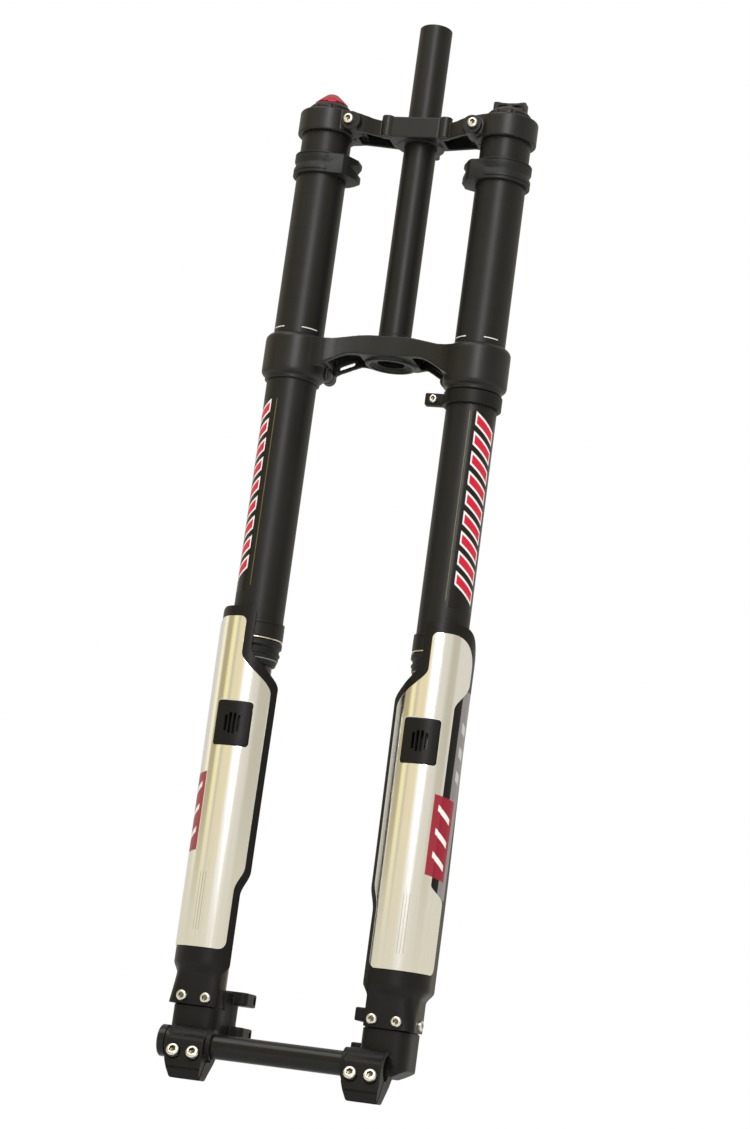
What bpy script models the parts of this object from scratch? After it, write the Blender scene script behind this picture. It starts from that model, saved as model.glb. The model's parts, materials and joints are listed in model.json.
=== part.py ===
"""Inverted dual-crown suspension fork for a downhill bicycle, as an assembly of separate pieces.

Frame: metres, +Z up along the steerer, the front of the bicycle towards -Y, +X to the right of someone
who stands in front of the fork. The origin is on the steerer axis, at the seat of the crown race.
Left and right are those of someone who stands in front of the fork and looks at it.
"""
import math

import bmesh
import bpy
from mathutils import Matrix, Vector

MM = 0.001

# Stance: where the two legs and the axle lie, seen from the steerer
LEG_HALF_SPACING = 80.8 * MM
LEG_FORWARD = 17.8 * MM
AXLE_AHEAD_OF_LEG = 33.7 * MM
AXLE_DROP = 610.0 * MM
TRAVEL = 200.0 * MM
HUB_WIDTH = 110.0 * MM

# Fits: the gap between pieces that touch, and the running gap of pieces that slide
FIT = 0.3 * MM
RUNNING_FIT = 0.3 * MM

# Steerer, with the seat for the crown race at its foot
STEERER_OD = 28.6 * MM
STEERER_WALL = 2.3 * MM
STEERER_RISE = 298.0 * MM
RACE_SEAT_STEP = 0.7 * MM
RACE_SEAT_HEIGHT = 8.0 * MM
RACE_SEAT_SINK = 2.0 * MM

# Legs: stanchion, bushings and outer tube, from the inside out
STANCHION_OD = 35.0 * MM
STANCHION_WALL = 2.0 * MM
STANCHION_OVERLAP = 146.0 * MM
BUSHING_WALL = 1.6 * MM
BUSHING_HEIGHT = 20.0 * MM
BUSHING_GROOVE = 0.6 * MM
BUSHING_TO_END = 4.0 * MM
TUBE_WALL = 2.0 * MM
TUBE_PROUD = 0.5 * MM
TUBE_DROP = 254.0 * MM

# Upper crown
UPPER_CROWN_RISE = 182.0 * MM
UPPER_CLAMP_HEIGHT = 21.0 * MM
UPPER_CLAMP_WALL = 4.0 * MM
UPPER_CLAMP_EDGE = 1.5 * MM
UPPER_BLOCK_HALF_WIDTH = 24.0 * MM
UPPER_BLOCK_DEPTH = 12.0 * MM
UPPER_BLOCK_HEIGHT = 20.0 * MM
UPPER_STEERER_WALL = 6.4 * MM
UPPER_ARM_FOOT = 2.0 * MM
UPPER_ARM_HEIGHT = 14.0 * MM
UPPER_ARM_RISE = 5.0 * MM
UPPER_ARM_WALL = 4.0 * MM
UPPER_ARM_ROOF = 5.0 * MM
UPPER_BOLT_FROM_BORE = 3.5 * MM
UPPER_BOLT_RISE = 9.6 * MM
UPPER_EAR_SETBACK = 2.0 * MM
UPPER_BOLT_LENGTH = 34.0 * MM
UPPER_EAR_WALL = 6.0 * MM
UPPER_REAR_EAR = 12.0 * MM
PILLAR_R = 5.4 * MM
PILLAR_X = 26.0 * MM
PILLAR_EDGE = 1.2 * MM
ARM_INTO_CLAMP = 8.0 * MM

# Lower crown
LOWER_CLAMP_HEIGHT = 41.0 * MM
LOWER_CLAMP_WALL = 5.5 * MM
LOWER_CLAMP_BELOW_SEAT = 2.0 * MM
LOWER_CLAMP_SHOULDER = 5.0 * MM
LOWER_COLLAR_HEIGHT = 4.0 * MM
LOWER_COLLAR_WALL = 1.9 * MM
LOWER_BOSS_WALL = 8.4 * MM
LOWER_BOSS_HEIGHT = 17.0 * MM
LOWER_BOSS_PROUD = 0.9 * MM
LOWER_BOSS_FLANK = 4.6 * MM
LOWER_ARM_FRONT = 16.0 * MM
LOWER_POCKET_FRONT = 4.6 * MM
LOWER_EAR_REAR = 24.0 * MM
LOWER_EAR_WALL = 7.2 * MM
LOWER_BELLY = 3.0 * MM
LOWER_ARM_REAR_WALL = 7.0 * MM
LOWER_ARM_FRONT_WALL = 7.0 * MM
LOWER_ARM_ROOF = 6.0 * MM
LOWER_WINDOW_HEIGHT = 7.0 * MM
LOWER_WINDOW_SILL = 1.2 * MM
LOWER_SLIT_BEHIND = 13.2 * MM
STEERER_MOUTH_WIDER = 3.4 * MM
STEERER_MOUTH_DEPTH = 2.0 * MM
CLAMP_SLIT = 1.6 * MM

# Frame bumpers on the upper tubes
BUMPER_BELOW_CROWN = 19.0 * MM
BUMPER_HEIGHT = 20.0 * MM
BUMPER_WALL = 1.6 * MM
BUMPER_RIB = 1.5 * MM
BUMPER_RIB_HEIGHT = 6.6 * MM
BUMPER_REACH = 11.5 * MM
BUMPER_NOTCH = 5.0 * MM
BUMPER_PAD_REAR = 8.0 * MM

# Hose guide clamp under the lower crown on the right leg
HOSE_CLAMP_HEIGHT = 12.5 * MM
HOSE_CLAMP_WALL = 3.0 * MM
HOSE_TAB_REACH = 16.0 * MM
HOSE_TAB_THICKNESS = 8.0 * MM
HOSE_TAB_INSET = 0.9 * MM

# Seal head, wire ring and dust wiper at the foot of each outer tube
SEAL_LIP = 1.7 * MM
SEAL_HEAD_HEIGHT = 14.0 * MM
SEAL_SPIGOT = 18.0 * MM
WIRE_RING = 2.4 * MM
WIPER_HEIGHT = 20.0 * MM
WIPER_LIP = 2.2 * MM
WIPER_BAND = 4.4 * MM
WIPER_BAND_SLOPE = 1.1 * MM
WIPER_TAPER = 5.0 * MM

# Top caps, rebound knob and lockout lever
CAP_FLANGE_HEIGHT = 8.0 * MM
CAP_FLANGE_INSET = 2.6 * MM
CAP_SPIGOT = 14.0 * MM
CAP_CONE_HEIGHT = 4.0 * MM
KNOB_OD = 30.0 * MM
KNOB_HEIGHT = 9.5 * MM
KNOB_FACETS = 12
KNOB_DOME = ((0.40, 0.96), (0.80, 0.60), (1.0, 0.14))
LEVER_LENGTH = 29.0 * MM
LEVER_WIDTH = 9.0 * MM
LEVER_THICKNESS = 3.2 * MM
LEVER_DROP = 8.0 * MM
ADJUSTER_STEM_OD = 8.0 * MM
ADJUSTER_STEM_LENGTH = 9.0 * MM

# Cartridges: a rebound damper in the left leg, an air spring in the right leg
DAMPER_TO_STANCHION = 3.0 * MM
AIR_TO_STANCHION = 1.2 * MM
CARTRIDGE_WALL = 1.4 * MM
CARTRIDGE_HEAD_HEIGHT = 10.0 * MM
CARTRIDGE_HEAD_SPIGOT = 8.0 * MM
ROD_OD = 10.0 * MM
ROD_FOOT_WALL = 3.0 * MM
ROD_FOOT_CLEARANCE = 2.0 * MM
ROD_THREAD_DEPTH = 9.0 * MM
PISTON_TO_ROD_END = 5.0 * MM
PISTON_HEIGHT = 14.0 * MM
PISTON_ABOVE_HEAD = 6.0 * MM
BOTTOM_OUT_GAP = 12.0 * MM

# Dropouts: heights are above the axle
SOCKET_FLOOR = 15.0 * MM
CASTING_SIDE_WALL = 2.9 * MM
CASTING_FRONT_WALL = 4.0 * MM
CASTING_TOP = 31.0 * MM
NECK_TOP = 51.0 * MM
NECK_INSET = 1.2 * MM
CASTING_POWER = 3.6
CASTING_EDGE = 8.0 * MM
CASTING_BOTTOM = -7.0 * MM
HUB_SEAT_OD = 27.0 * MM
HUB_SEAT_LENGTH = 3.5 * MM
BLOCK_WIDTH = 31.5 * MM
BLOCK_TOP_RADIUS = 14.0 * MM
BLOCK_TOP_ARC = (40, 150)
BLOCK_FRONT = 18.5 * MM
BLOCK_FRONT_TOP = 2.2 * MM
BLOCK_STEP = 1.0 * MM
BLOCK_STEP_HEIGHT = -19.5 * MM
BLOCK_FRONT_EDGE = -21.0 * MM
BLOCK_BOTTOM = -27.5 * MM
BLOCK_SOLE = (-13.0 * MM, 3.0 * MM)
BLOCK_REAR = 23.6 * MM
BLOCK_REAR_TOP = 9.0 * MM
PINCH_SLIT = 2.0 * MM
PINCH_HEIGHT = -7.5 * MM
PINCH_SPACING = 16.6 * MM
PINCH_TILT = math.radians(24.0)
LUG_THICKNESS = 11.0 * MM
LUG_CENTRES = (13.5 * MM, 42.0 * MM)
LUG_REACH = 34.7 * MM
LUG_REAR = 38.0 * MM
LUG_FRONT = 7.0 * MM
LUG_CORNER = 3.6 * MM
LUG_HOLE_OD = 6.4 * MM
LUG_HOLE_FROM_REAR = 8.0 * MM
LUG_HOLE_DEPTH = 14.0 * MM

# Through axle
AXLE_OD = 20.0 * MM
AXLE_WALL = 3.0 * MM
AXLE_FLANGE_OD = 26.0 * MM
AXLE_FLANGE_WIDTH = 10.0 * MM
AXLE_END_RECESS = 6.0 * MM

# Fork guards: heights are above the axle, angles from the front of the leg
GUARD_WALL = 2.2 * MM
GUARD_TOP = 364.5 * MM
GUARD_TOP_CORNER = 24.0 * MM
GUARD_STEP_TOP = 337.0 * MM
GUARD_STEP_FOOT = 292.0 * MM
GUARD_WAIST_TOP = 145.0 * MM
GUARD_WAIST_FOOT = 124.0 * MM
GUARD_COLLAR = 66.0 * MM
GUARD_NECK = 56.0 * MM
GUARD_FOOT = 31.7 * MM
GUARD_GAP_TOP = 4.0 * MM
GUARD_GAP_LOW = 2.8 * MM
GUARD_FLAT_INNER = math.radians(45.0)
GUARD_FLAT_OUTER = math.radians(90.0)
GUARD_INNER_TOP = math.radians(14.0)
GUARD_INNER = math.radians(69.0)
GUARD_INNER_LOW = math.radians(56.0)
GUARD_INNER_FOOT = math.radians(41.0)
GUARD_OUTER = math.radians(100.0)
GUARD_OUTER_LOW = math.radians(118.0)
FLARE_TOP = -1.2 * MM
FLARE_FOOT = 2.6 * MM
FLARE_FRONT = (math.radians(25.0), math.radians(55.0))
FLARE_SIDE = (math.radians(50.0), math.radians(72.0))
GUARD_BOLT_HEIGHT = 38.0 * MM
GUARD_BOLT_SPREAD = 10.2 * MM
VENT_CENTRE = 268.7 * MM
VENT_HEIGHT = 24.0 * MM
VENT_SLOT = 4.5 * MM
VENT_SPACING = 11.0 * MM
PLATE_THICKNESS = 0.8 * MM
PLATE_GAP = 1.2 * MM
PLATE_TOP = 355.5 * MM
PLATE_TOP_CORNER = 20.0 * MM
PLATE_FOOT = 78.5 * MM
PLATE_BORDER = 5.0 * MM
PLATE_BORDER_LOW = 8.0 * MM
PLATE_OUTER_TOP = math.radians(94.0)
PLATE_OUTER = math.radians(50.0)
PLATE_OUTER_LOW = math.radians(86.0)
PLATE_TONGUE = (294.0 * MM, 312.0 * MM)
PLATE_SPREAD = (136.0 * MM, 150.0 * MM)
PLATE_VENT_HEIGHT = 38.0 * MM
PLATE_VENT_WIDTH = 31.0 * MM

# Socket-head bolts: thread, head and length of each size
CROWN_BOLT_OD = 6.0 * MM
CROWN_BOLT_LENGTH = 20.0 * MM
UPPER_BOLT_OD = 5.0 * MM
PINCH_BOLT_OD = 6.0 * MM
PINCH_BOLT_LENGTH = 28.0 * MM
GUARD_BOLT_OD = 5.0 * MM
GUARD_BOLT_LENGTH = 7.0 * MM
GUARD_SIDE_BOLT_LENGTH = 4.8 * MM
HOSE_BOLT_OD = 4.0 * MM
HOSE_BOLT_LENGTH = 7.0 * MM
FOOT_BOLT_OD = 8.0 * MM
HEAD_TO_THREAD = 1.75
HEAD_HEIGHT_TO_THREAD = 0.9

# Facets round turned pieces, and along the arches and sheets
ROUND_STEPS = 20
CARTRIDGE_STEPS = 12
SMALL_STEPS = 12
BOLT_STEPS = 8
BLOCK_STEPS = 5
ARCH_STEPS = 5
ARCH_OVERRUN = 1.1
GUARD_COLUMNS = 10
PLATE_COLUMNS = 7
CORNER_ROWS = 3
SWING_ROWS = 4
WAIST_ROWS = 2

# Worked out from the sizes above
STANCHION_R = STANCHION_OD / 2
TUBE_BORE_R = STANCHION_R + RUNNING_FIT + BUSHING_WALL + FIT
TUBE_R = TUBE_BORE_R + TUBE_WALL
CLAMP_BORE_R = TUBE_R + FIT
STEERER_R = STEERER_OD / 2
STEERER_BORE_R = STEERER_R - STEERER_WALL
STEERER_HOLE_R = STEERER_R + FIT
SEAL_R = TUBE_R + SEAL_LIP
SEAL_FOOT_Z = -TUBE_DROP - SEAL_HEAD_HEIGHT
TUBE_TOP_Z = UPPER_CROWN_RISE + UPPER_CLAMP_HEIGHT + TUBE_PROUD
LOWER_CROWN_FOOT_Z = -LOWER_CLAMP_BELOW_SEAT - LOWER_CLAMP_HEIGHT
AXLE_R = AXLE_OD / 2
AXLE_HOLE_R = AXLE_R + FIT
STANCHION_BORE_R = STANCHION_R - STANCHION_WALL
STANCHION_TOP_Z = -TUBE_DROP + STANCHION_OVERLAP
STANCHION_FOOT = SOCKET_FLOOR + FIT
CARTRIDGE_FOOT_Z = -AXLE_DROP + SOCKET_FLOOR + TRAVEL + BOTTOM_OUT_GAP
CAP_TOP_Z = TUBE_TOP_Z + FIT + CAP_FLANGE_HEIGHT
CAP_FLANGE_R = TUBE_R - CAP_FLANGE_INSET
CASTING_HALF_X = STANCHION_R + FIT + CASTING_SIDE_WALL
CASTING_HALF_Y = STANCHION_R + FIT + CASTING_FRONT_WALL
LEG_Y = -LEG_FORWARD
AXLE_Y = LEG_Y - AXLE_AHEAD_OF_LEG
BLOCK_INNER = HUB_WIDTH / 2 + HUB_SEAT_LENGTH
BLOCK_OUTER = BLOCK_INNER + BLOCK_WIDTH
SIDES = {"left": -1, "right": 1}

# Finishes: colour, roughness and metallic value
BLACK_ANODISED = ((0.030, 0.029, 0.028), 0.38, 0.85)
BLACK_PAINT = ((0.024, 0.023, 0.021), 0.42, 0.20)
BLACK_PLASTIC = ((0.018, 0.018, 0.020), 0.50, 0.0)
RUBBER = ((0.020, 0.020, 0.019), 0.70, 0.0)
ZINC = ((0.72, 0.68, 0.58), 0.28, 1.0)
POLISHED = ((0.82, 0.80, 0.74), 0.12, 1.0)
BRASS = ((0.62, 0.52, 0.30), 0.35, 1.0)
BARE_ALLOY = ((0.55, 0.55, 0.56), 0.35, 1.0)
RED_ANODISED = ((0.50, 0.015, 0.030), 0.30, 0.8)

for leftover in list(bpy.data.objects):
    bpy.data.objects.remove(leftover, do_unlink=True)

PARTS = bpy.data.collections.new("suspension_fork")
CUTTERS = bpy.data.collections.new("cutters")
for group in (PARTS, CUTTERS):
    bpy.context.scene.collection.children.link(group)


# Objects, materials and parents
def add_object(name, data, parent=None, location=(0, 0, 0), group=PARTS):
    thing = bpy.data.objects.new(name, data)
    group.objects.link(thing)
    thing.parent = parent
    thing.location = location
    return thing


def add_frame(name, location, parent=None):
    """An empty that carries pieces: they are placed from it."""
    return add_object(name, None, parent, location)


def give_finish(thing, finish):
    colour, roughness, metallic = finish
    material = bpy.data.materials.new(thing.name)
    material.use_nodes = True
    shader = material.node_tree.nodes["Principled BSDF"]
    shader.inputs["Base Color"].default_value = (*colour, 1.0)
    shader.inputs["Roughness"].default_value = roughness
    shader.inputs["Metallic"].default_value = metallic
    thing.data.materials.append(material)
    return thing


def as_tool(thing):
    """Turn an object into a hidden operand of a Boolean."""
    PARTS.objects.unlink(thing)
    CUTTERS.objects.link(thing)
    thing.hide_render = True
    thing.display_type = "WIRE"
    return thing


def combine(thing, tool, operation):
    modifier = thing.modifiers.new(operation.lower(), "BOOLEAN")
    modifier.operation = operation
    modifier.object = as_tool(tool)
    modifier.solver = "EXACT"
    return thing


def cut(thing, *tools):
    for tool in tools:
        combine(thing, tool, "DIFFERENCE")
    return thing


def join(thing, *tools):
    for tool in tools:
        combine(thing, tool, "UNION")
    return thing


# Shapes
def turned(name, profile, parent=None, location=(0, 0, 0), steps=ROUND_STEPS, closed=True):
    """Turn (radius, height) points round Z. A closed profile is a ring, an open one ends on the axis."""
    mesh = bpy.data.meshes.new(name)
    points = [(radius, 0.0, height) for radius, height in profile]
    edges = [(i, i + 1) for i in range(len(points) - 1)]
    if closed:
        edges.append((len(points) - 1, 0))
    mesh.from_pydata(points, edges, [])
    thing = add_object(name, mesh, parent, location)
    screw = thing.modifiers.new("turn", "SCREW")
    screw.axis = "Z"
    screw.angle = 2 * math.pi
    screw.steps = steps
    screw.render_steps = steps
    screw.use_merge_vertices = True
    screw.merge_threshold = 0.00002
    screw.use_smooth_shade = True
    return thing


def ring(name, inner, outer, low, high, parent=None, location=(0, 0, 0), steps=ROUND_STEPS):
    profile = [(outer, high), (outer, low), (inner, low), (inner, high)]
    return turned(name, profile, parent, location, steps)


def rod_between(name, start, end, radius, parent=None, steps=SMALL_STEPS):
    """A round bar from start to end."""
    start, end = Vector(start), Vector(end)
    mesh = bpy.data.meshes.new(name)
    shape = bmesh.new()
    bmesh.ops.create_cone(shape, cap_ends=True, segments=steps, radius1=radius, radius2=radius,
                          depth=(end - start).length)
    shape.to_mesh(mesh)
    shape.free()
    thing = add_object(name, mesh, parent, (start + end) / 2)
    thing.rotation_mode = "QUATERNION"
    thing.rotation_quaternion = (end - start).to_track_quat("Z", "Y")
    return thing


def box(name, low, high, parent=None):
    """A box between two opposite corners."""
    low, high = Vector(low), Vector(high)
    mesh = bpy.data.meshes.new(name)
    shape = bmesh.new()
    bmesh.ops.create_cube(shape, size=1.0, matrix=Matrix.Diagonal((*(abs(v) for v in high - low), 1.0)))
    shape.to_mesh(mesh)
    shape.free()
    return add_object(name, mesh, parent, (low + high) / 2)


VIEW_AXES = {
    "plan": Matrix(((1, 0, 0), (0, 1, 0), (0, 0, 1))),
    "front": Matrix(((1, 0, 0), (0, 0, -1), (0, 1, 0))),
    "side": Matrix(((0, 0, 1), (1, 0, 0), (0, 1, 0))),
}


def slab(name, outline, view, low, high, parent=None, location=(0, 0, 0)):
    """Extrude a flat outline: a plan along Z, a front view along -Y or a side view along X."""
    curve = bpy.data.curves.new(name, "CURVE")
    curve.dimensions = "2D"
    curve.fill_mode = "BOTH"
    curve.extrude = abs(high - low) / 2
    spline = curve.splines.new("POLY")
    spline.points.add(len(outline) - 1)
    for point, (across, up) in zip(spline.points, outline):
        point.co = (across, up, 0.0, 1.0)
    spline.use_cyclic_u = True
    drawn = add_object(name + "_outline", curve)
    bpy.context.view_layer.update()
    mesh = bpy.data.meshes.new_from_object(drawn.evaluated_get(bpy.context.evaluated_depsgraph_get()))
    bpy.data.objects.remove(drawn, do_unlink=True)
    shape = bmesh.new()
    shape.from_mesh(mesh)
    bmesh.ops.remove_doubles(shape, verts=shape.verts, dist=0.00001)
    bmesh.ops.translate(shape, verts=shape.verts, vec=(0, 0, (low + high) / 2))
    bmesh.ops.transform(shape, verts=shape.verts, matrix=VIEW_AXES[view].to_4x4())
    bmesh.ops.recalc_face_normals(shape, faces=shape.faces)
    shape.to_mesh(mesh)
    shape.free()
    mesh.name = name
    return add_object(name, mesh, parent, location)


def arc(centre, radius, start, end, steps):
    """Points of an arc, with its angles in degrees."""
    angles = [math.radians(start + (end - start) * i / steps) for i in range(steps + 1)]
    return [(centre[0] + radius * math.cos(a), centre[1] + radius * math.sin(a)) for a in angles]


def squircle(half_x, half_y, power, steps):
    """A closed outline between an ellipse (power 2) and a rectangle."""
    points = []
    for i in range(steps):
        angle = 2 * math.pi * i / steps
        c, s = math.cos(angle), math.sin(angle)
        points.append((half_x * math.copysign(abs(c) ** (2 / power), c),
                       half_y * math.copysign(abs(s) ** (2 / power), s)))
    return points


def stacked(name, sections, parent):
    """The dropout casting's round-cornered form, through (inset, height) sections from the bottom up."""
    mesh = bpy.data.meshes.new(name)
    shape = bmesh.new()
    rings = []
    for inset, height in sections:
        outline = squircle(CASTING_HALF_X - inset, CASTING_HALF_Y - inset, CASTING_POWER, ROUND_STEPS)
        rings.append([shape.verts.new((x, y, height)) for x, y in outline])
    for low, high in zip(rings, rings[1:]):
        for i in range(ROUND_STEPS):
            following = (i + 1) % ROUND_STEPS
            shape.faces.new((low[i], low[following], high[following], high[i]))
    shape.faces.new(reversed(rings[0]))
    shape.faces.new(rings[-1])
    shape.to_mesh(mesh)
    shape.free()
    return add_object(name, mesh, parent)


def mirrored(outline, side):
    """An outline drawn for the right leg, turned over for the left one."""
    return [(side * across, up) for across, up in outline]


def blend(x, start, end):
    """A smooth step from 0 at start to 1 at end."""
    t = min(1.0, max(0.0, (x - start) / (end - start)))
    return t * t * (3 - 2 * t)


def bolt_head_radius(thread):
    return thread * HEAD_TO_THREAD / 2


def socket_bolt(name, thread, length, seat, direction, parent):
    """A socket-head bolt whose head sits on seat and whose thread runs along direction."""
    head_r = bolt_head_radius(thread)
    head = thread * HEAD_HEIGHT_TO_THREAD
    shank = thread / 2
    profile = [(0, head), (head_r, head), (head_r, FIT), (shank, FIT), (shank, -length), (0, -length)]
    thing = turned(name, profile, parent, seat, BOLT_STEPS, closed=False)
    thing.rotation_mode = "QUATERNION"
    thing.rotation_quaternion = (-Vector(direction)).to_track_quat("Z", "Y")
    return give_finish(thing, ZINC)


def bolt_hole(name, thread, length, seat, direction, parent, before=0.0):
    """The cutter of a bolt's hole, from before its seat to past its tip."""
    way = Vector(direction).normalized()
    start = Vector(seat) - way * before
    end = Vector(seat) + way * (length + 2 * FIT)
    return rod_between(name, start, end, thread / 2 + FIT, parent, BOLT_STEPS)


def head_recess(name, thread, depth, seat, direction, parent):
    """The cutter of a recess that clears a bolt's head, outwards from its seat."""
    start = Vector(seat) - Vector(direction).normalized() * depth
    return rod_between(name, start, seat, bolt_head_radius(thread) + FIT, parent, SMALL_STEPS)


# Frames: each leg's axis, and the lower assembly that slides up by the travel
LOWER = add_frame("lower_assembly", (0, 0, -AXLE_DROP))
LEG = {}
FOOT = {}
for word, sign in SIDES.items():
    LEG[word] = add_frame("leg_axis_" + word, (sign * LEG_HALF_SPACING, LEG_Y, 0))
    FOOT[word] = add_frame("foot_axis_" + word, (sign * LEG_HALF_SPACING, LEG_Y, 0), LOWER)


# Steerer and crowns
def make_steerer():
    seat_r = STEERER_R + RACE_SEAT_STEP
    foot = -LOWER_BOSS_HEIGHT + STEERER_MOUTH_DEPTH
    profile = [(STEERER_BORE_R, STEERER_RISE), (STEERER_R, STEERER_RISE), (STEERER_R, RACE_SEAT_HEIGHT),
               (seat_r, RACE_SEAT_HEIGHT), (seat_r, -RACE_SEAT_SINK), (STEERER_R, -RACE_SEAT_SINK),
               (STEERER_R, foot), (STEERER_BORE_R, foot)]
    return give_finish(turned("steerer_tube", profile), BLACK_ANODISED)


def upper_bolt_x(side):
    return side * (LEG_HALF_SPACING - CLAMP_BORE_R - UPPER_BOLT_FROM_BORE + FIT)


def upper_bolt_seat(side):
    """Seat of an upper crown pinch bolt, on the front of its clamp ear."""
    ear_front = LEG_Y - CLAMP_BORE_R - UPPER_CLAMP_WALL + UPPER_EAR_SETBACK
    return (upper_bolt_x(side), ear_front, UPPER_CROWN_RISE + UPPER_BOLT_RISE)


def make_upper_crown():
    low = UPPER_CROWN_RISE
    high = low + UPPER_CLAMP_HEIGHT
    arm_low = low + UPPER_ARM_FOOT
    arm_high = arm_low + UPPER_ARM_HEIGHT
    boss_r = STEERER_HOLE_R + UPPER_STEERER_WALL
    flank = boss_r - UPPER_ARM_WALL
    clamp_r = CLAMP_BORE_R + UPPER_CLAMP_WALL
    ear_front = upper_bolt_seat(1)[1]
    ear_rear = 2 * LEG_Y - ear_front
    block_front = -(boss_r + UPPER_BLOCK_DEPTH / 2)
    pillar_y = block_front + PILLAR_R
    arm_end = LEG_HALF_SPACING - CLAMP_BORE_R + ARM_INTO_CLAMP
    ear_end = abs(upper_bolt_x(1)) - UPPER_EAR_WALL
    half = [(PILLAR_X, pillar_y), (ear_end, ear_front), (arm_end, ear_front), (arm_end, ear_rear),
            (ear_end, ear_rear), (boss_r, flank)]
    outline = half + [(-x, y) for x, y in reversed(half)]
    crown = slab("upper_crown", outline, "plan", arm_low, high + UPPER_ARM_RISE)
    half = [(arm_end, low), (arm_end, arm_high + UPPER_ARM_RISE), (PILLAR_X, arm_high)]
    outline = half + [(-x, z) for x, z in reversed(half)]
    combine(crown, slab("upper_arm_slope", outline, "front", -2 * clamp_r, 2 * clamp_r), "INTERSECT")
    pocket_front = ear_front + UPPER_ARM_WALL * 2
    for word, side in SIDES.items():
        axis = (side * LEG_HALF_SPACING, LEG_Y, 0)
        pocket = mirrored([(boss_r + UPPER_ARM_WALL, pocket_front + UPPER_ARM_WALL),
                           (ear_end - UPPER_ARM_WALL, pocket_front),
                           (ear_end - UPPER_ARM_WALL, ear_rear - UPPER_ARM_WALL),
                           (boss_r + UPPER_ARM_WALL, ear_rear - UPPER_ARM_WALL / 2)], side)
        cut(crown, slab("upper_pocket_" + word, pocket, "plan", low - UPPER_ARM_WALL,
                        arm_high - UPPER_ARM_ROOF))
        barrel = [(0, high), (clamp_r - UPPER_CLAMP_EDGE, high), (clamp_r, high - UPPER_CLAMP_EDGE),
                  (clamp_r, low), (0, low)]
        join(crown, turned("upper_barrel_" + word, barrel, None, axis, closed=False))
        pillar = [(0, high), (PILLAR_R - PILLAR_EDGE, high), (PILLAR_R, high - PILLAR_EDGE),
                  (PILLAR_R, arm_low + FIT), (0, arm_low + FIT)]
        join(crown, turned("upper_pillar_" + word, pillar, None, (side * PILLAR_X, pillar_y, 0), BOLT_STEPS,
                           closed=False))
    block = [(-UPPER_BLOCK_HALF_WIDTH, block_front), (UPPER_BLOCK_HALF_WIDTH, block_front), (flank, 0),
             (-flank, 0)]
    join(crown, slab("upper_block", block, "plan", high - UPPER_BLOCK_HEIGHT, high - FIT))
    boss = [(0, high + FIT), (boss_r, high + FIT), (boss_r, low + FIT), (0, low + FIT)]
    join(crown, turned("upper_boss", boss, closed=False))
    rear_ear = box("upper_rear_ear", (-CROWN_BOLT_LENGTH / 2, 0, arm_low + FIT),
                   (CROWN_BOLT_LENGTH / 2, boss_r + UPPER_REAR_EAR, arm_high - FIT))
    join(crown, rear_ear)
    past = UPPER_CLAMP_HEIGHT
    further = past + UPPER_ARM_WALL
    bores = rod_between("upper_steerer_bore", (0, 0, low - past), (0, 0, high + past), STEERER_HOLE_R, None,
                        ROUND_STEPS)
    join(bores, box("upper_rear_slit", (-CLAMP_SLIT / 2, 0, low - past),
                    (CLAMP_SLIT / 2, boss_r * 3, high + past)))
    join(bores, bolt_hole("upper_steerer_bolt_hole", CROWN_BOLT_OD, CROWN_BOLT_LENGTH, steerer_bolt_seat(),
                          (1, 0, 0), None, before=UPPER_ARM_WALL))
    for word, side in SIDES.items():
        axis_x = side * LEG_HALF_SPACING
        bore = rod_between("upper_bore_" + word, (axis_x, LEG_Y, low - past), (axis_x, LEG_Y, high + past),
                           CLAMP_BORE_R, None, ROUND_STEPS)
        slit_ends = sorted((side * (ear_end - CLAMP_SLIT * 2), axis_x))
        join(bore, box("upper_slit_" + word, (slit_ends[0], LEG_Y - CLAMP_SLIT / 2, low - further),
                       (slit_ends[1], LEG_Y + CLAMP_SLIT / 2, high + further)))
        join(bore, bolt_hole("upper_bolt_hole_" + word, UPPER_BOLT_OD, UPPER_BOLT_LENGTH,
                             upper_bolt_seat(side), (0, 1, 0), None, before=UPPER_ARM_WALL))
        join(bores, bore)
    cut(crown, bores)
    return give_finish(crown, BLACK_PAINT)


def steerer_bolt_seat():
    rear = STEERER_HOLE_R + UPPER_STEERER_WALL + CROWN_BOLT_OD
    return (-CROWN_BOLT_LENGTH / 2, rear, UPPER_CROWN_RISE + UPPER_BOLT_RISE)


def make_upper_crown_bolts():
    for word, side in SIDES.items():
        socket_bolt("upper_crown_bolt_" + word, UPPER_BOLT_OD, UPPER_BOLT_LENGTH, upper_bolt_seat(side),
                    (0, 1, 0), None)
    socket_bolt("steerer_clamp_bolt", CROWN_BOLT_OD, CROWN_BOLT_LENGTH, steerer_bolt_seat(), (1, 0, 0),
                None)


def lower_bolt_seats(side):
    """Seats of the two lower crown pinch bolts, on the rear of the clamp's inner ear."""
    ear_x = side * (LEG_HALF_SPACING - CLAMP_BORE_R - CROWN_BOLT_OD)
    rear = LEG_Y + LOWER_EAR_REAR
    step = LOWER_CLAMP_HEIGHT / 4
    middle = (LOWER_CROWN_FOOT_Z - LOWER_CLAMP_BELOW_SEAT) / 2
    return [(ear_x, rear, middle + step), (ear_x, rear, middle - step)]


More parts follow.
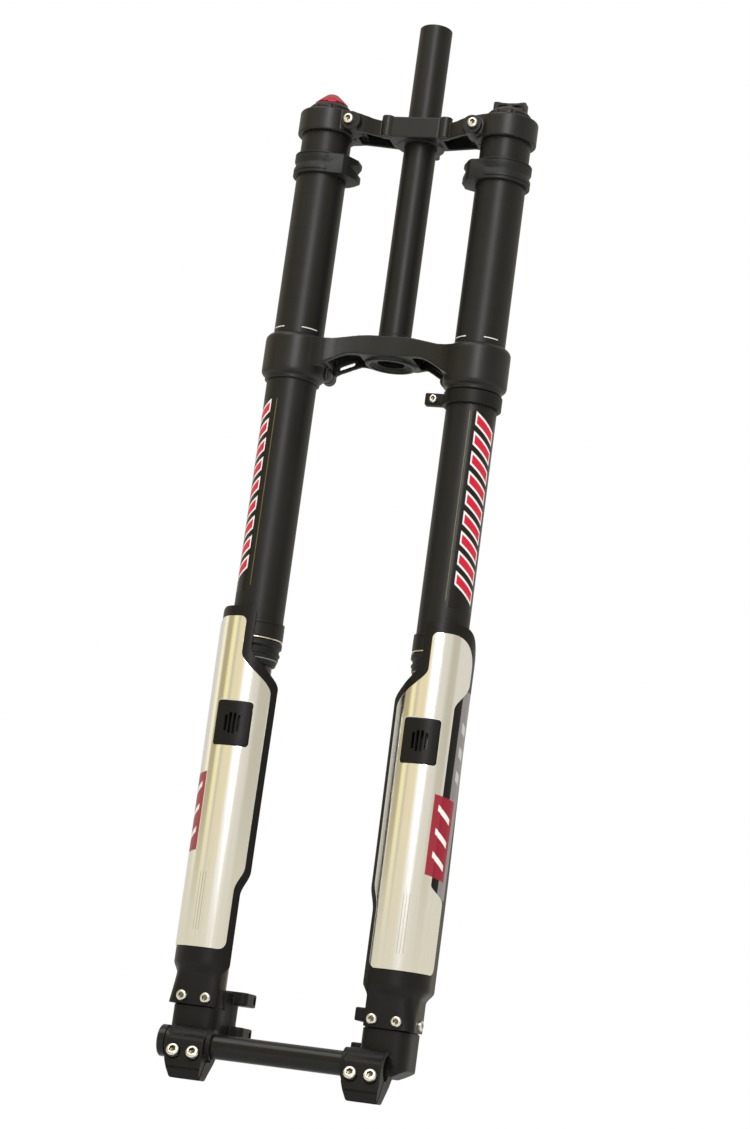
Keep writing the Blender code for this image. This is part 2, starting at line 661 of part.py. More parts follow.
def make_lower_crown():
    clamp_r = CLAMP_BORE_R + LOWER_CLAMP_WALL
    collar_r = CLAMP_BORE_R + LOWER_COLLAR_WALL
    high = -LOWER_CLAMP_BELOW_SEAT
    foot = LOWER_CROWN_FOOT_Z
    boss_r = STEERER_HOLE_R + LOWER_BOSS_WALL
    arm_end = LEG_HALF_SPACING - CLAMP_BORE_R + ARM_INTO_CLAMP
    rear_seat = lower_bolt_seats(1)[0]
    ear_end = abs(rear_seat[0]) - LOWER_EAR_WALL
    arch_low = foot + LOWER_COLLAR_HEIGHT
    front_y = -boss_r - LOWER_BOSS_PROUD
    half_plan = [(0, front_y), (boss_r, front_y), (arm_end, LEG_Y - LOWER_ARM_FRONT), (arm_end, rear_seat[1]),
                 (ear_end, rear_seat[1]), (boss_r - LOWER_BOSS_FLANK, boss_r), (0, boss_r)]
    plan = half_plan + [(-x, y) for x, y in reversed(half_plan[1:-1])]
    deep = 2 * clamp_r + LEG_FORWARD
    crown = slab("lower_crown", plan, "plan", -deep, deep)
    arch = [(boss_r, -LOWER_BOSS_HEIGHT)]
    reach = arm_end - boss_r
    drop = -LOWER_BOSS_HEIGHT - arch_low
    arch += [(boss_r + reach * i / ARCH_STEPS,
              -LOWER_BOSS_HEIGHT - drop * blend(i, 0, ARCH_STEPS * ARCH_OVERRUN))
             for i in range(1, ARCH_STEPS + 1)]
    half_front = arch + [(arm_end, high - LOWER_CLAMP_SHOULDER / 2), (boss_r, 0)]
    front = half_front + [(-x, z) for x, z in reversed(half_front)]
    combine(crown, slab("lower_arch", front, "front", -deep, deep), "INTERSECT")
    wall = LOWER_ARM_FRONT_WALL
    for word, side in SIDES.items():
        pocket = mirrored([(boss_r, -boss_r + wall), (ear_end, LEG_Y - LOWER_POCKET_FRONT),
                           (ear_end, rear_seat[1] - LOWER_ARM_REAR_WALL),
                           (boss_r, boss_r - LOWER_ARM_REAR_WALL)], side)
        cut(crown, slab("lower_pocket_" + word, pocket, "plan", foot - wall, -LOWER_ARM_ROOF))
        window_low = -LOWER_BOSS_HEIGHT + LOWER_WINDOW_SILL
        ends = sorted((side * (boss_r + wall), side * (ear_end - wall / 2)))
        cut(crown, box("lower_window_" + word, (ends[0], 0, window_low),
                       (ends[1], deep, window_low + LOWER_WINDOW_HEIGHT)))
        round_down = [(clamp_r - LOWER_CLAMP_SHOULDER * (1 - math.cos(a)),
                       high - LOWER_CLAMP_SHOULDER * (1 - math.sin(a))) for a in
                      (math.pi / 2, math.pi / 4, 0)]
        belly = [(clamp_r, arch_low + LOWER_BELLY), (collar_r, arch_low), (collar_r, foot),
                 (0, foot)]
        join(crown, turned("lower_barrel_" + word, [(0, high)] + round_down + belly, None,
                           (side * LEG_HALF_SPACING, LEG_Y, 0), closed=False))
    bores = rod_between("lower_steerer_bore", (0, 0, -deep), (0, 0, deep), STEERER_HOLE_R, None, ROUND_STEPS)
    deeper = deep + wall
    mouth_top = STEERER_MOUTH_DEPTH - LOWER_BOSS_HEIGHT
    join(bores, rod_between("lower_steerer_mouth", (0, 0, -deeper), (0, 0, mouth_top),
                            STEERER_R + STEERER_MOUTH_WIDER, None, ROUND_STEPS))
    join(bores, rod_between("race_seat_recess", (0, 0, -RACE_SEAT_SINK - FIT), (0, 0, deeper),
                            STEERER_HOLE_R + RACE_SEAT_STEP, None, ROUND_STEPS))
    for word, side in SIDES.items():
        axis_x = side * LEG_HALF_SPACING
        bore = rod_between("lower_bore_" + word, (axis_x, LEG_Y, -deep), (axis_x, LEG_Y, deep), CLAMP_BORE_R,
                           None, ROUND_STEPS)
        slit_ends = sorted((side * (ear_end - wall), axis_x))
        slit_y = LEG_Y + LOWER_SLIT_BEHIND
        join(bore, box("lower_slit_" + word, (slit_ends[0], slit_y, -deeper),
                       (slit_ends[1], slit_y + CLAMP_SLIT, deeper)))
        for level, seat in zip(("upper", "lower"), lower_bolt_seats(side)):
            join(bore, bolt_hole("lower_bolt_hole_%s_%s" % (level, word), CROWN_BOLT_OD, CROWN_BOLT_LENGTH,
                                 seat, (0, -1, 0), None, before=wall))
        join(bores, bore)
    cut(crown, bores)
    return give_finish(crown, BLACK_PAINT)


def make_lower_crown_bolts():
    for word, side in SIDES.items():
        for level, seat in zip(("upper", "lower"), lower_bolt_seats(side)):
            socket_bolt("lower_crown_%s_bolt_%s" % (level, word), CROWN_BOLT_OD, CROWN_BOLT_LENGTH, seat,
                        (0, -1, 0), None)


# Upper leg pieces, on each leg's axis
def make_outer_tube(word):
    tube = ring("outer_tube_" + word, TUBE_BORE_R, TUBE_R, -TUBE_DROP, TUBE_TOP_Z, LEG[word])
    return give_finish(tube, BLACK_ANODISED)


def make_frame_bumper(word, side):
    high = UPPER_CROWN_RISE - BUMPER_BELOW_CROWN
    low = high - BUMPER_HEIGHT
    base = CLAMP_BORE_R + BUMPER_WALL
    rib = base + BUMPER_RIB
    middle = (low + high) / 2
    profile = [(0, high), (rib, high), (rib, high - BUMPER_RIB_HEIGHT), (base, middle),
               (rib, low + BUMPER_RIB_HEIGHT), (rib, low), (0, low)]
    bumper = turned("frame_bumper_" + word, profile, LEG[word], closed=False)
    reach = TUBE_R + BUMPER_REACH
    wing = mirrored([(0, FIT - base), (-TUBE_R, -TUBE_R), (-reach, -BUMPER_NOTCH), (-reach, BUMPER_PAD_REAR),
                     (-TUBE_R, TUBE_R - BUMPER_NOTCH), (0, TUBE_R)], side)
    pad = slab("bumper_pad_" + word, wing, "plan", low + FIT, high - FIT, LEG[word])
    notch = mirrored([(-reach - FIT, middle + BUMPER_NOTCH), (-reach + BUMPER_NOTCH, middle),
                      (-reach - FIT, middle - BUMPER_NOTCH)], side)
    cut(pad, slab("bumper_notch_" + word, notch, "front", -2 * TUBE_R, 2 * TUBE_R, LEG[word]))
    join(bumper, pad)
    cut(bumper, rod_between("bumper_bore_" + word, (0, 0, low - BUMPER_WALL), (0, 0, high + BUMPER_WALL),
                            CLAMP_BORE_R, LEG[word], ROUND_STEPS))
    return give_finish(bumper, RUBBER)


def hose_bolt_seat(side):
    high = LOWER_CROWN_FOOT_Z - FIT
    return (-side * (CLAMP_BORE_R + HOSE_CLAMP_WALL + HOSE_TAB_REACH / 2), -HOSE_TAB_THICKNESS / 2,
            high - HOSE_CLAMP_HEIGHT / 2)


def make_hose_guide():
    word, side = "right", SIDES["right"]
    high = LOWER_CROWN_FOOT_Z - FIT
    low = high - HOSE_CLAMP_HEIGHT
    outer = CLAMP_BORE_R + HOSE_CLAMP_WALL
    clamp = rod_between("hose_guide_clamp", (0, 0, low), (0, 0, high), outer, LEG[word], ROUND_STEPS)
    ends = sorted((-side * CLAMP_BORE_R / 2, -side * (outer + HOSE_TAB_REACH)))
    tab = box("hose_tab", (ends[0], -HOSE_TAB_THICKNESS / 2, low + HOSE_TAB_INSET),
              (ends[1], HOSE_TAB_THICKNESS / 2, high - HOSE_TAB_INSET), LEG[word])
    join(clamp, tab)
    cut(clamp, rod_between("hose_bore", (0, 0, low - HOSE_CLAMP_WALL), (0, 0, high + HOSE_CLAMP_WALL),
                           CLAMP_BORE_R, LEG[word], ROUND_STEPS))
    seat = hose_bolt_seat(side)
    cut(clamp, bolt_hole("hose_bolt_hole", HOSE_BOLT_OD, HOSE_TAB_THICKNESS, seat, (0, 1, 0), LEG[word],
                         before=HOSE_TAB_THICKNESS))
    socket_bolt("hose_guide_bolt", HOSE_BOLT_OD, HOSE_BOLT_LENGTH, seat, (0, 1, 0), LEG[word])
    return give_finish(clamp, BLACK_PAINT)


def make_seal_head(word):
    bore = STANCHION_R + RUNNING_FIT
    spigot = TUBE_BORE_R - FIT
    high = -TUBE_DROP - FIT
    neck = SEAL_FOOT_Z - WIRE_RING
    profile = [(bore, -TUBE_DROP + SEAL_SPIGOT), (spigot, -TUBE_DROP + SEAL_SPIGOT), (spigot, high),
               (SEAL_R, high), (SEAL_R, SEAL_FOOT_Z),
               (TUBE_R, SEAL_FOOT_Z), (TUBE_R, neck), (bore, neck)]
    give_finish(turned("seal_head_" + word, profile, LEG[word]), BLACK_ANODISED)
    ring_low = neck + FIT
    wire = ring("wiper_ring_" + word, TUBE_R + FIT, SEAL_R - FIT, ring_low, SEAL_FOOT_Z - FIT, LEG[word])
    give_finish(wire, BRASS)
    top = neck - FIT
    wiper_foot = top - WIPER_HEIGHT
    band = top - WIPER_BAND
    wiper = [(bore, top), (SEAL_R, top), (SEAL_R, band), (TUBE_R, band - WIPER_BAND_SLOPE),
             (TUBE_R, wiper_foot + WIPER_TAPER), (bore + WIPER_LIP, wiper_foot), (bore, wiper_foot)]
    give_finish(turned("dust_wiper_" + word, wiper, LEG[word]), RUBBER)


def make_fixed_bushing(word):
    low = -TUBE_DROP + SEAL_SPIGOT + FIT
    bushing = ring("lower_bushing_" + word, STANCHION_R + RUNNING_FIT, TUBE_BORE_R - FIT, low,
                   low + BUSHING_HEIGHT, LEG[word])
    return give_finish(bushing, BRASS)


def make_top_cap(word, cartridge_r):
    """Top cap: a flange on the tube's end, a spigot in its bore and a nose in the cartridge."""
    flange_low = TUBE_TOP_Z + FIT
    spigot = TUBE_BORE_R - FIT
    nose = cartridge_r - CARTRIDGE_WALL - FIT
    spigot_low = TUBE_TOP_Z - CAP_SPIGOT
    nose_low = spigot_low - CARTRIDGE_HEAD_SPIGOT
    hole = ADJUSTER_STEM_OD / 2 + RUNNING_FIT
    floor = CAP_TOP_Z - ADJUSTER_STEM_LENGTH - FIT
    cone = CAP_CONE_HEIGHT
    profile = [(0, floor), (hole, floor), (hole, CAP_TOP_Z), (CAP_FLANGE_R - cone, CAP_TOP_Z),
               (CAP_FLANGE_R, CAP_TOP_Z - cone), (CAP_FLANGE_R, flange_low), (spigot, flange_low),
               (spigot, spigot_low), (nose, spigot_low), (nose, nose_low), (0, nose_low)]
    return give_finish(turned("top_cap_" + word, profile, LEG[word], steps=CARTRIDGE_STEPS, closed=False),
                       BLACK_ANODISED)


def make_rebound_knob():
    """Domed, faceted knob with a stem that turns in the left top cap."""
    low = CAP_TOP_Z + RUNNING_FIT
    stem = ADJUSTER_STEM_OD / 2
    rim = KNOB_OD / 2
    stem_low = CAP_TOP_Z - ADJUSTER_STEM_LENGTH
    dome = [(rim * across, KNOB_HEIGHT * up) for across, up in KNOB_DOME]
    profile = [(0, KNOB_HEIGHT)] + dome + [(rim, 0), (stem, 0), (stem, stem_low - low), (0, stem_low - low)]
    knob = turned("rebound_knob", profile, LEG["left"], (0, 0, low), KNOB_FACETS, closed=False)
    return give_finish(knob, RED_ANODISED)


def make_lockout_lever():
    """Bridge-shaped lever on a stem that turns in the right top cap."""
    low = CAP_TOP_Z + RUNNING_FIT
    half = LEVER_LENGTH / 2
    stem = ADJUSTER_STEM_OD / 2
    inside = half - LEVER_THICKNESS
    under = LEVER_DROP - LEVER_THICKNESS
    outline = [(-half, LEVER_DROP), (half, LEVER_DROP), (half, 0), (inside, 0), (inside, under),
               (-inside, under), (-inside, 0), (-half, 0)]
    lever = slab("lockout_lever", outline, "front", -LEVER_WIDTH / 2, LEVER_WIDTH / 2, LEG["right"],
                 (0, 0, low))
    stem_low = CAP_TOP_Z - ADJUSTER_STEM_LENGTH - low
    spindle = [(0, LEVER_DROP - FIT), (stem, LEVER_DROP - FIT), (stem, stem_low), (0, stem_low)]
    hub = turned("lever_hub", spindle, LEG["right"], (0, 0, low), SMALL_STEPS, closed=False)
    join(lever, hub)
    return give_finish(lever, BLACK_PLASTIC)


def make_cartridge(word, purpose, radius):
    """Cartridge tube hung from the top cap, with a head at its foot that guides the rod."""
    bore = radius - CARTRIDGE_WALL
    high = TUBE_TOP_Z - CAP_SPIGOT - FIT
    foot = CARTRIDGE_FOOT_Z + CARTRIDGE_HEAD_HEIGHT
    tube = ring(purpose + "_tube", bore, radius, foot, high, LEG[word], steps=CARTRIDGE_STEPS)
    give_finish(tube, BARE_ALLOY)
    rod_hole = ROD_OD / 2 + RUNNING_FIT
    spigot = bore - FIT
    head_top = foot + CARTRIDGE_HEAD_SPIGOT
    profile = [(rod_hole, head_top), (spigot, head_top), (spigot, foot - FIT), (radius, foot - FIT),
               (radius, CARTRIDGE_FOOT_Z), (rod_hole, CARTRIDGE_FOOT_Z)]
    give_finish(turned(purpose + "_seal_head", profile, LEG[word], steps=CARTRIDGE_STEPS), BARE_ALLOY)


# Lower leg pieces: heights are above the axle
def make_stanchion(word):
    """Stanchion with the groove for its slide bushing near the top."""
    top = STANCHION_TOP_Z + AXLE_DROP
    groove_top = top - BUSHING_TO_END
    groove_low = groove_top - BUSHING_HEIGHT - 2 * FIT
    groove_r = STANCHION_R - BUSHING_GROOVE
    profile = [(STANCHION_BORE_R, top), (STANCHION_R, top), (STANCHION_R, groove_top), (groove_r, groove_top),
               (groove_r, groove_low), (STANCHION_R, groove_low), (STANCHION_R, STANCHION_FOOT),
               (STANCHION_BORE_R, STANCHION_FOOT)]
    give_finish(turned("stanchion_" + word, profile, FOOT[word]), BLACK_ANODISED)
    bushing = ring("upper_bushing_" + word, groove_r + FIT, TUBE_BORE_R - RUNNING_FIT, groove_low + FIT,
                   groove_low + FIT + BUSHING_HEIGHT, FOOT[word])
    give_finish(bushing, BRASS)


def make_piston_rod(word, purpose, radius):
    """Rod that stands on the socket floor, with the piston near its top."""
    bore = radius - CARTRIDGE_WALL
    head_top = CARTRIDGE_FOOT_Z + CARTRIDGE_HEAD_HEIGHT + CARTRIDGE_HEAD_SPIGOT + AXLE_DROP
    piston_low = head_top + PISTON_ABOVE_HEAD
    piston_high = piston_low + PISTON_HEIGHT
    low = SOCKET_FLOOR + FIT
    thread = FOOT_BOLT_OD / 2 + FIT
    rod_r = ROD_OD / 2
    foot_r = thread + ROD_FOOT_WALL
    foot_top = low + BOTTOM_OUT_GAP - ROD_FOOT_CLEARANCE
    top = piston_high + PISTON_TO_ROD_END
    profile = [(0, top), (rod_r, top), (rod_r, foot_top), (foot_r, foot_top), (foot_r, low), (thread, low),
               (thread, low + ROD_THREAD_DEPTH), (0, low + ROD_THREAD_DEPTH)]
    give_finish(turned(purpose + "_rod", profile, FOOT[word], steps=SMALL_STEPS, closed=False), BARE_ALLOY)
    piston = ring(purpose + "_piston", rod_r + FIT, bore - RUNNING_FIT, piston_low, piston_high, FOOT[word],
                  steps=CARTRIDGE_STEPS)
    give_finish(piston, BRASS)


def pinch_seats(side):
    """Seats of the two axle pinch bolts on the front of the axle block."""
    middle = side * (BLOCK_INNER + BLOCK_OUTER) / 2
    sunk = bolt_head_radius(PINCH_BOLT_OD) * math.tan(PINCH_TILT) + FIT
    y = AXLE_Y - BLOCK_FRONT + sunk
    return [(middle - PINCH_SPACING / 2, y, PINCH_HEIGHT), (middle + PINCH_SPACING / 2, y, PINCH_HEIGHT)]


PINCH_WAY = (0, math.cos(PINCH_TILT), -math.sin(PINCH_TILT))


def guard_bolt_seats(side):
    """Seat from the foot's axis, way and length of the guard's bolts: two in front, one on the outer side."""
    front = -(CASTING_HALF_Y + FIT + GUARD_WALL)
    outer = side * (CASTING_HALF_X + FIT + GUARD_WALL)
    return {"inner": ((-side * GUARD_BOLT_SPREAD, front, GUARD_BOLT_HEIGHT), (0, 1, 0), GUARD_BOLT_LENGTH),
            "outer": ((side * GUARD_BOLT_SPREAD, front, GUARD_BOLT_HEIGHT), (0, 1, 0), GUARD_BOLT_LENGTH),
            "side": ((outer, 0, GUARD_BOLT_HEIGHT), (-side, 0, 0), GUARD_SIDE_BOLT_LENGTH)}


def block_outline():
    """Side view of the axle block, from the axle's own axis."""
    top = arc((0, 0), BLOCK_TOP_RADIUS, *BLOCK_TOP_ARC, BLOCK_STEPS)
    face = BLOCK_STEP - BLOCK_FRONT
    front = [(-BLOCK_FRONT, BLOCK_FRONT_TOP), (-BLOCK_FRONT, BLOCK_STEP_HEIGHT), (face, BLOCK_STEP_HEIGHT),
             (face, BLOCK_FRONT_EDGE)]
    bottom = [(across, BLOCK_BOTTOM) for across in BLOCK_SOLE]
    rear = [(BLOCK_REAR, CASTING_BOTTOM), (BLOCK_REAR, BLOCK_REAR_TOP)]
    return top + front + bottom + rear


def make_dropout(word, side):
    foot = FOOT[word]
    ends = sorted((side * BLOCK_INNER, side * BLOCK_OUTER))
    sections = [(CASTING_EDGE, CASTING_BOTTOM), (0, CASTING_BOTTOM + CASTING_EDGE), (0, CASTING_TOP),
                (NECK_INSET, CASTING_TOP), (NECK_INSET, NECK_TOP)]
    body = stacked("dropout_" + word, sections, foot)
    join(body, slab("axle_block_" + word, block_outline(), "side", *ends, LOWER, (0, AXLE_Y, 0)))
    join(body, rod_between("hub_seat_" + word, (side * HUB_WIDTH / 2, AXLE_Y, 0),
                           (side * (BLOCK_INNER + HUB_SEAT_LENGTH), AXLE_Y, 0), HUB_SEAT_OD / 2, LOWER,
                           ROUND_STEPS))
    hole_y = LUG_REAR - LUG_HOLE_FROM_REAR
    for level, centre in zip(("lower", "upper"), LUG_CENTRES):
        outline = mirrored([(0, LUG_FRONT), (LUG_CORNER - LUG_REACH, LUG_FRONT),
                            (-LUG_REACH, LUG_FRONT + LUG_CORNER), (-LUG_REACH, LUG_REAR - LUG_CORNER),
                            (LUG_CORNER - LUG_REACH, LUG_REAR), (-STANCHION_R, LUG_REAR), (0, STANCHION_R)],
                           side)
        lug = slab("brake_lug_%s_%s" % (level, word), outline, "plan", centre - LUG_THICKNESS / 2,
                   centre + LUG_THICKNESS / 2, foot)
        cut(lug, rod_between("lug_hole_%s_%s" % (level, word),
                             (side * (LUG_HOLE_DEPTH - LUG_REACH), hole_y, centre),
                             (-side * 2 * LUG_REACH, hole_y, centre), LUG_HOLE_OD / 2, foot, BOLT_STEPS))
        join(body, lug)
    socket = rod_between("socket_bore_" + word, (0, 0, SOCKET_FLOOR), (0, 0, NECK_TOP * 2), STANCHION_R + FIT,
                         foot, ROUND_STEPS)
    join(socket, rod_between("foot_hole_" + word, (0, 0, CASTING_BOTTOM * 2), (0, 0, SOCKET_FLOOR * 2),
                             FOOT_BOLT_OD / 2 + FIT, foot, BOLT_STEPS))
    head_r = bolt_head_radius(FOOT_BOLT_OD)
    join(socket, rod_between("foot_recess_" + word, (0, 0, CASTING_BOTTOM * 3), (0, 0, foot_seat()),
                             head_r + FIT, foot, SMALL_STEPS))
    bore = rod_between("axle_bore_" + word, (side * (BLOCK_INNER - BLOCK_WIDTH), AXLE_Y, 0),
                       (side * (BLOCK_OUTER + BLOCK_WIDTH), AXLE_Y, 0), AXLE_HOLE_R, LOWER, ROUND_STEPS)
    join(bore, rod_between("spot_face_" + word, (side * BLOCK_OUTER, AXLE_Y, 0),
                           (side * (BLOCK_OUTER + BLOCK_WIDTH * 2), AXLE_Y, 0), AXLE_FLANGE_OD / 2 + FIT,
                           LOWER, ROUND_STEPS))
    half = PINCH_SLIT / 2
    outline = [(-half, 2 * BLOCK_BOTTOM), (half, 2 * BLOCK_BOTTOM), (half, 0), (-half, 0)]
    slit = slab("pinch_slit_" + word, outline, "side", ends[0] - BLOCK_WIDTH, ends[1] + BLOCK_WIDTH, LOWER,
                (0, AXLE_Y, 0))
    slit.rotation_euler.x = -PINCH_TILT
    join(bore, slit)
    for end, seat in zip(("first", "second"), pinch_seats(side)):
        join(bore, bolt_hole("pinch_hole_%s_%s" % (end, word), PINCH_BOLT_OD, PINCH_BOLT_LENGTH, seat,
                             PINCH_WAY, LOWER, before=PINCH_BOLT_OD))
        join(bore, head_recess("pinch_recess_%s_%s" % (end, word), PINCH_BOLT_OD, BLOCK_FRONT, seat,
                               PINCH_WAY, LOWER))
    for place, (seat, way, _) in guard_bolt_seats(side).items():
        join(bore, bolt_hole("guard_thread_%s_%s" % (place, word), GUARD_BOLT_OD, GUARD_BOLT_LENGTH, seat, way,
                             foot, before=GUARD_WALL))
    cut(body, join(bore, socket))
    return give_finish(body, BLACK_PAINT)


def foot_seat():
    """Height of the foot bolt's seat in its recess under the casting."""
    return CASTING_BOTTOM + FOOT_BOLT_OD * HEAD_HEIGHT_TO_THREAD


def make_foot_bolt(word):
    length = SOCKET_FLOOR + ROD_THREAD_DEPTH - foot_seat() - FIT
    socket_bolt("foot_bolt_" + word, FOOT_BOLT_OD, length, (0, 0, foot_seat()), (0, 0, 1), FOOT[word])


def make_pinch_bolts(word, side):
    for end, seat in zip(("first", "second"), pinch_seats(side)):
        socket_bolt("axle_pinch_bolt_%s_%s" % (end, word), PINCH_BOLT_OD, PINCH_BOLT_LENGTH, seat, PINCH_WAY,
                    LOWER)


def make_axle():
    """Hollow through axle with a flange on the left and its end sunk in the right block."""
    flange_in = -BLOCK_OUTER - FIT
    flange_out = flange_in - AXLE_FLANGE_WIDTH
    end = BLOCK_OUTER - AXLE_END_RECESS
    bore = AXLE_R - AXLE_WALL
    profile = [(bore, end), (AXLE_R, end), (AXLE_R, flange_in), (AXLE_FLANGE_OD / 2, flange_in),
               (AXLE_FLANGE_OD / 2, flange_out), (bore, flange_out)]
    axle = turned("through_axle", profile, LOWER, (0, AXLE_Y, 0))
    axle.rotation_euler.y = math.pi / 2
    return give_finish(axle, BLACK_ANODISED)


# Fork guards
def guard_flare(height, angle):
    """How far the skirt's outer front corner leans out towards its foot."""
    lean = FLARE_TOP + (FLARE_FOOT - FLARE_TOP) * (GUARD_NECK - height) / (GUARD_NECK - GUARD_FOOT)
    return lean * blend(-angle, *FLARE_FRONT) * (1 - blend(-angle, *FLARE_SIDE))


def guard_radius(height, angle):
    """Outer radius of the guard at a height above the axle, at an angle towards the inner side."""
    gap = GUARD_GAP_LOW + (GUARD_GAP_TOP - GUARD_GAP_LOW) * blend(height, GUARD_WAIST_FOOT, GUARD_TOP)
    past_round = max(0.0, angle - GUARD_FLAT_INNER, -angle - GUARD_FLAT_OUTER)
    wrap = (SEAL_R + gap + GUARD_WALL) / math.cos(past_round)
    skirt_x = CASTING_HALF_X + FIT + GUARD_WALL
    skirt_y = CASTING_HALF_Y + FIT + GUARD_WALL
    power = CASTING_POWER
    c, s = abs(math.cos(angle)), abs(math.sin(angle))
    skirt = ((c / skirt_y) ** power + (s / skirt_x) ** power) ** (-1 / power) + guard_flare(height, angle)
    return skirt + (wrap - skirt) * blend(height, GUARD_NECK, GUARD_COLLAR)


def corner_inset(height, top, corner):
    """How far a rounded top corner has drawn an edge in, at a height."""
    rise = max(0.0, height - top + corner)
    return corner - math.sqrt(corner ** 2 - min(rise, corner) ** 2)


def guard_inner_angle(height):
    """The inner edge is drawn in at the skirt and the waist, and swings to the leg's front at the top."""
    angle = GUARD_INNER_FOOT + (GUARD_INNER_LOW - GUARD_INNER_FOOT) * blend(height, GUARD_NECK, GUARD_COLLAR)
    angle += (GUARD_INNER - GUARD_INNER_LOW) * blend(height, GUARD_WAIST_FOOT, GUARD_WAIST_TOP)
    return angle + (GUARD_INNER_TOP - GUARD_INNER) * blend(height, GUARD_STEP_FOOT, GUARD_STEP_TOP)


def guard_edges(height):
    narrowing = blend(height, GUARD_WAIST_FOOT, GUARD_STEP_FOOT)
    outer = GUARD_OUTER_LOW + (GUARD_OUTER - GUARD_OUTER_LOW) * narrowing
    outer -= corner_inset(height, GUARD_TOP, GUARD_TOP_CORNER) / guard_radius(height, 0)
    return guard_inner_angle(height), outer


def plate_edges(height):
    """The plate leaves a border of the shell. It is wide at the top and at the foot and narrow between."""
    inner = guard_inner_angle(height)
    waist = blend(height, GUARD_WAIST_FOOT, GUARD_WAIST_TOP)
    border = PLATE_BORDER_LOW + (PLATE_BORDER - PLATE_BORDER_LOW) * waist
    flat = max(0.0, inner - GUARD_FLAT_INNER)
    outer = PLATE_OUTER_LOW + (PLATE_OUTER - PLATE_OUTER_LOW) * blend(height, *PLATE_SPREAD)
    outer += (PLATE_OUTER_TOP - PLATE_OUTER) * blend(height, *PLATE_TONGUE)
    outer -= corner_inset(height, PLATE_TOP, PLATE_TOP_CORNER) / guard_radius(height, 0)
    return inner - border * math.cos(flat) / guard_radius(height, inner), outer


def curved_sheet(name, side, heights, edges, offset, thickness, parent, columns):
    """A sheet that follows the guard's outside at an offset, between two edge angles at each height."""
    mesh = bpy.data.meshes.new(name)
    shape = bmesh.new()
    rows = []
    for height in heights:
        inner, outer = edges(height)
        row = []
        for i in range(columns + 1):
            angle = inner + (-outer - inner) * i / columns
            radius = guard_radius(height, angle) + offset
            row.append(shape.verts.new((-side * radius * math.sin(angle), -radius * math.cos(angle), height)))
        rows.append(row)
    for upper, lower in zip(rows, rows[1:]):
        for i in range(columns):
            corners = [upper[i], lower[i], lower[i + 1], upper[i + 1]]
            shape.faces.new(corners if side > 0 else corners[::-1])
    # The short diagonals keep skewed faces close to the curve
    bmesh.ops.triangulate(shape, faces=shape.faces, quad_method="SHORT_EDGE")
    shape.to_mesh(mesh)
    shape.free()
    thing = add_object(name, mesh, parent)
    wall = thing.modifiers.new("wall", "SOLIDIFY")
    wall.thickness = thickness
    wall.offset = -1.0
    return thing


def levels(*stretches):
    """Heights from the top down: each stretch is (from, to, steps)."""
    heights = []
    for start, end, steps in stretches:
        heights += [start + (end - start) * i / steps for i in range(steps)]
    return heights + [stretches[-1][1]]


def corner_levels(top, corner):
    """Heights from the top down a rounded corner, at equal turns of its arc."""
    turns = [math.pi / 2 * i / CORNER_ROWS for i in range(CORNER_ROWS)]
    return [top - corner * (1 - math.cos(turn)) for turn in turns]


def make_guard(word, side):
    heights = corner_levels(GUARD_TOP, GUARD_TOP_CORNER)
    heights += levels((GUARD_TOP - GUARD_TOP_CORNER, GUARD_STEP_FOOT, SWING_ROWS),
                      (GUARD_STEP_FOOT, GUARD_WAIST_TOP, 1), (GUARD_WAIST_TOP, GUARD_WAIST_FOOT, WAIST_ROWS),
                      (GUARD_WAIST_FOOT, GUARD_COLLAR, 1), (GUARD_COLLAR, GUARD_NECK, WAIST_ROWS),
                      (GUARD_NECK, GUARD_FOOT, 1))
    guard = curved_sheet("guard_shell_" + word, side, heights, guard_edges, 0.0, GUARD_WALL, FOOT[word],
                         GUARD_COLUMNS)
    front = -guard_radius(VENT_CENTRE, 0)
    for end, across in (("inner", -VENT_SPACING / 2), ("outer", VENT_SPACING / 2)):
        cut(guard, box("vent_%s_%s" % (end, word),
                       (across - VENT_SLOT / 2, front * 2, VENT_CENTRE - VENT_HEIGHT / 2),
                       (across + VENT_SLOT / 2, 0, VENT_CENTRE + VENT_HEIGHT / 2), FOOT[word]))
    for place, (seat, way, length) in guard_bolt_seats(side).items():
        cut(guard, bolt_hole("guard_hole_%s_%s" % (place, word), GUARD_BOLT_OD, GUARD_BOLT_LENGTH, seat, way,
                             FOOT[word], before=GUARD_WALL))
        socket_bolt("guard_bolt_%s_%s" % (place, word), GUARD_BOLT_OD, length, seat, way, FOOT[word])
    return give_finish(guard, BLACK_PLASTIC)


def make_guard_plate(word, side):
    tongue_low, tongue_high = PLATE_TONGUE
    spread_low, spread_high = PLATE_SPREAD
    heights = corner_levels(PLATE_TOP, PLATE_TOP_CORNER)
    heights += levels((PLATE_TOP - PLATE_TOP_CORNER, tongue_high, WAIST_ROWS),
                      (tongue_high, tongue_low, WAIST_ROWS), (tongue_low, spread_high, 1),
                      (spread_high, spread_low, WAIST_ROWS),
                      (spread_low, GUARD_WAIST_FOOT, 1), (GUARD_WAIST_FOOT, PLATE_FOOT, 1))
    plate = curved_sheet("guard_plate_" + word, side, heights, plate_edges, PLATE_GAP + PLATE_THICKNESS,
                         PLATE_THICKNESS, FOOT[word], PLATE_COLUMNS)
    front = -guard_radius(VENT_CENTRE, 0)
    half_width = PLATE_VENT_WIDTH / 2
    half_height = PLATE_VENT_HEIGHT / 2
    cut(plate, box("plate_vent_" + word, (-half_width, front * 2, VENT_CENTRE - half_height),
                   (half_width, 0, VENT_CENTRE + half_height), FOOT[word]))
    return give_finish(plate, POLISHED)


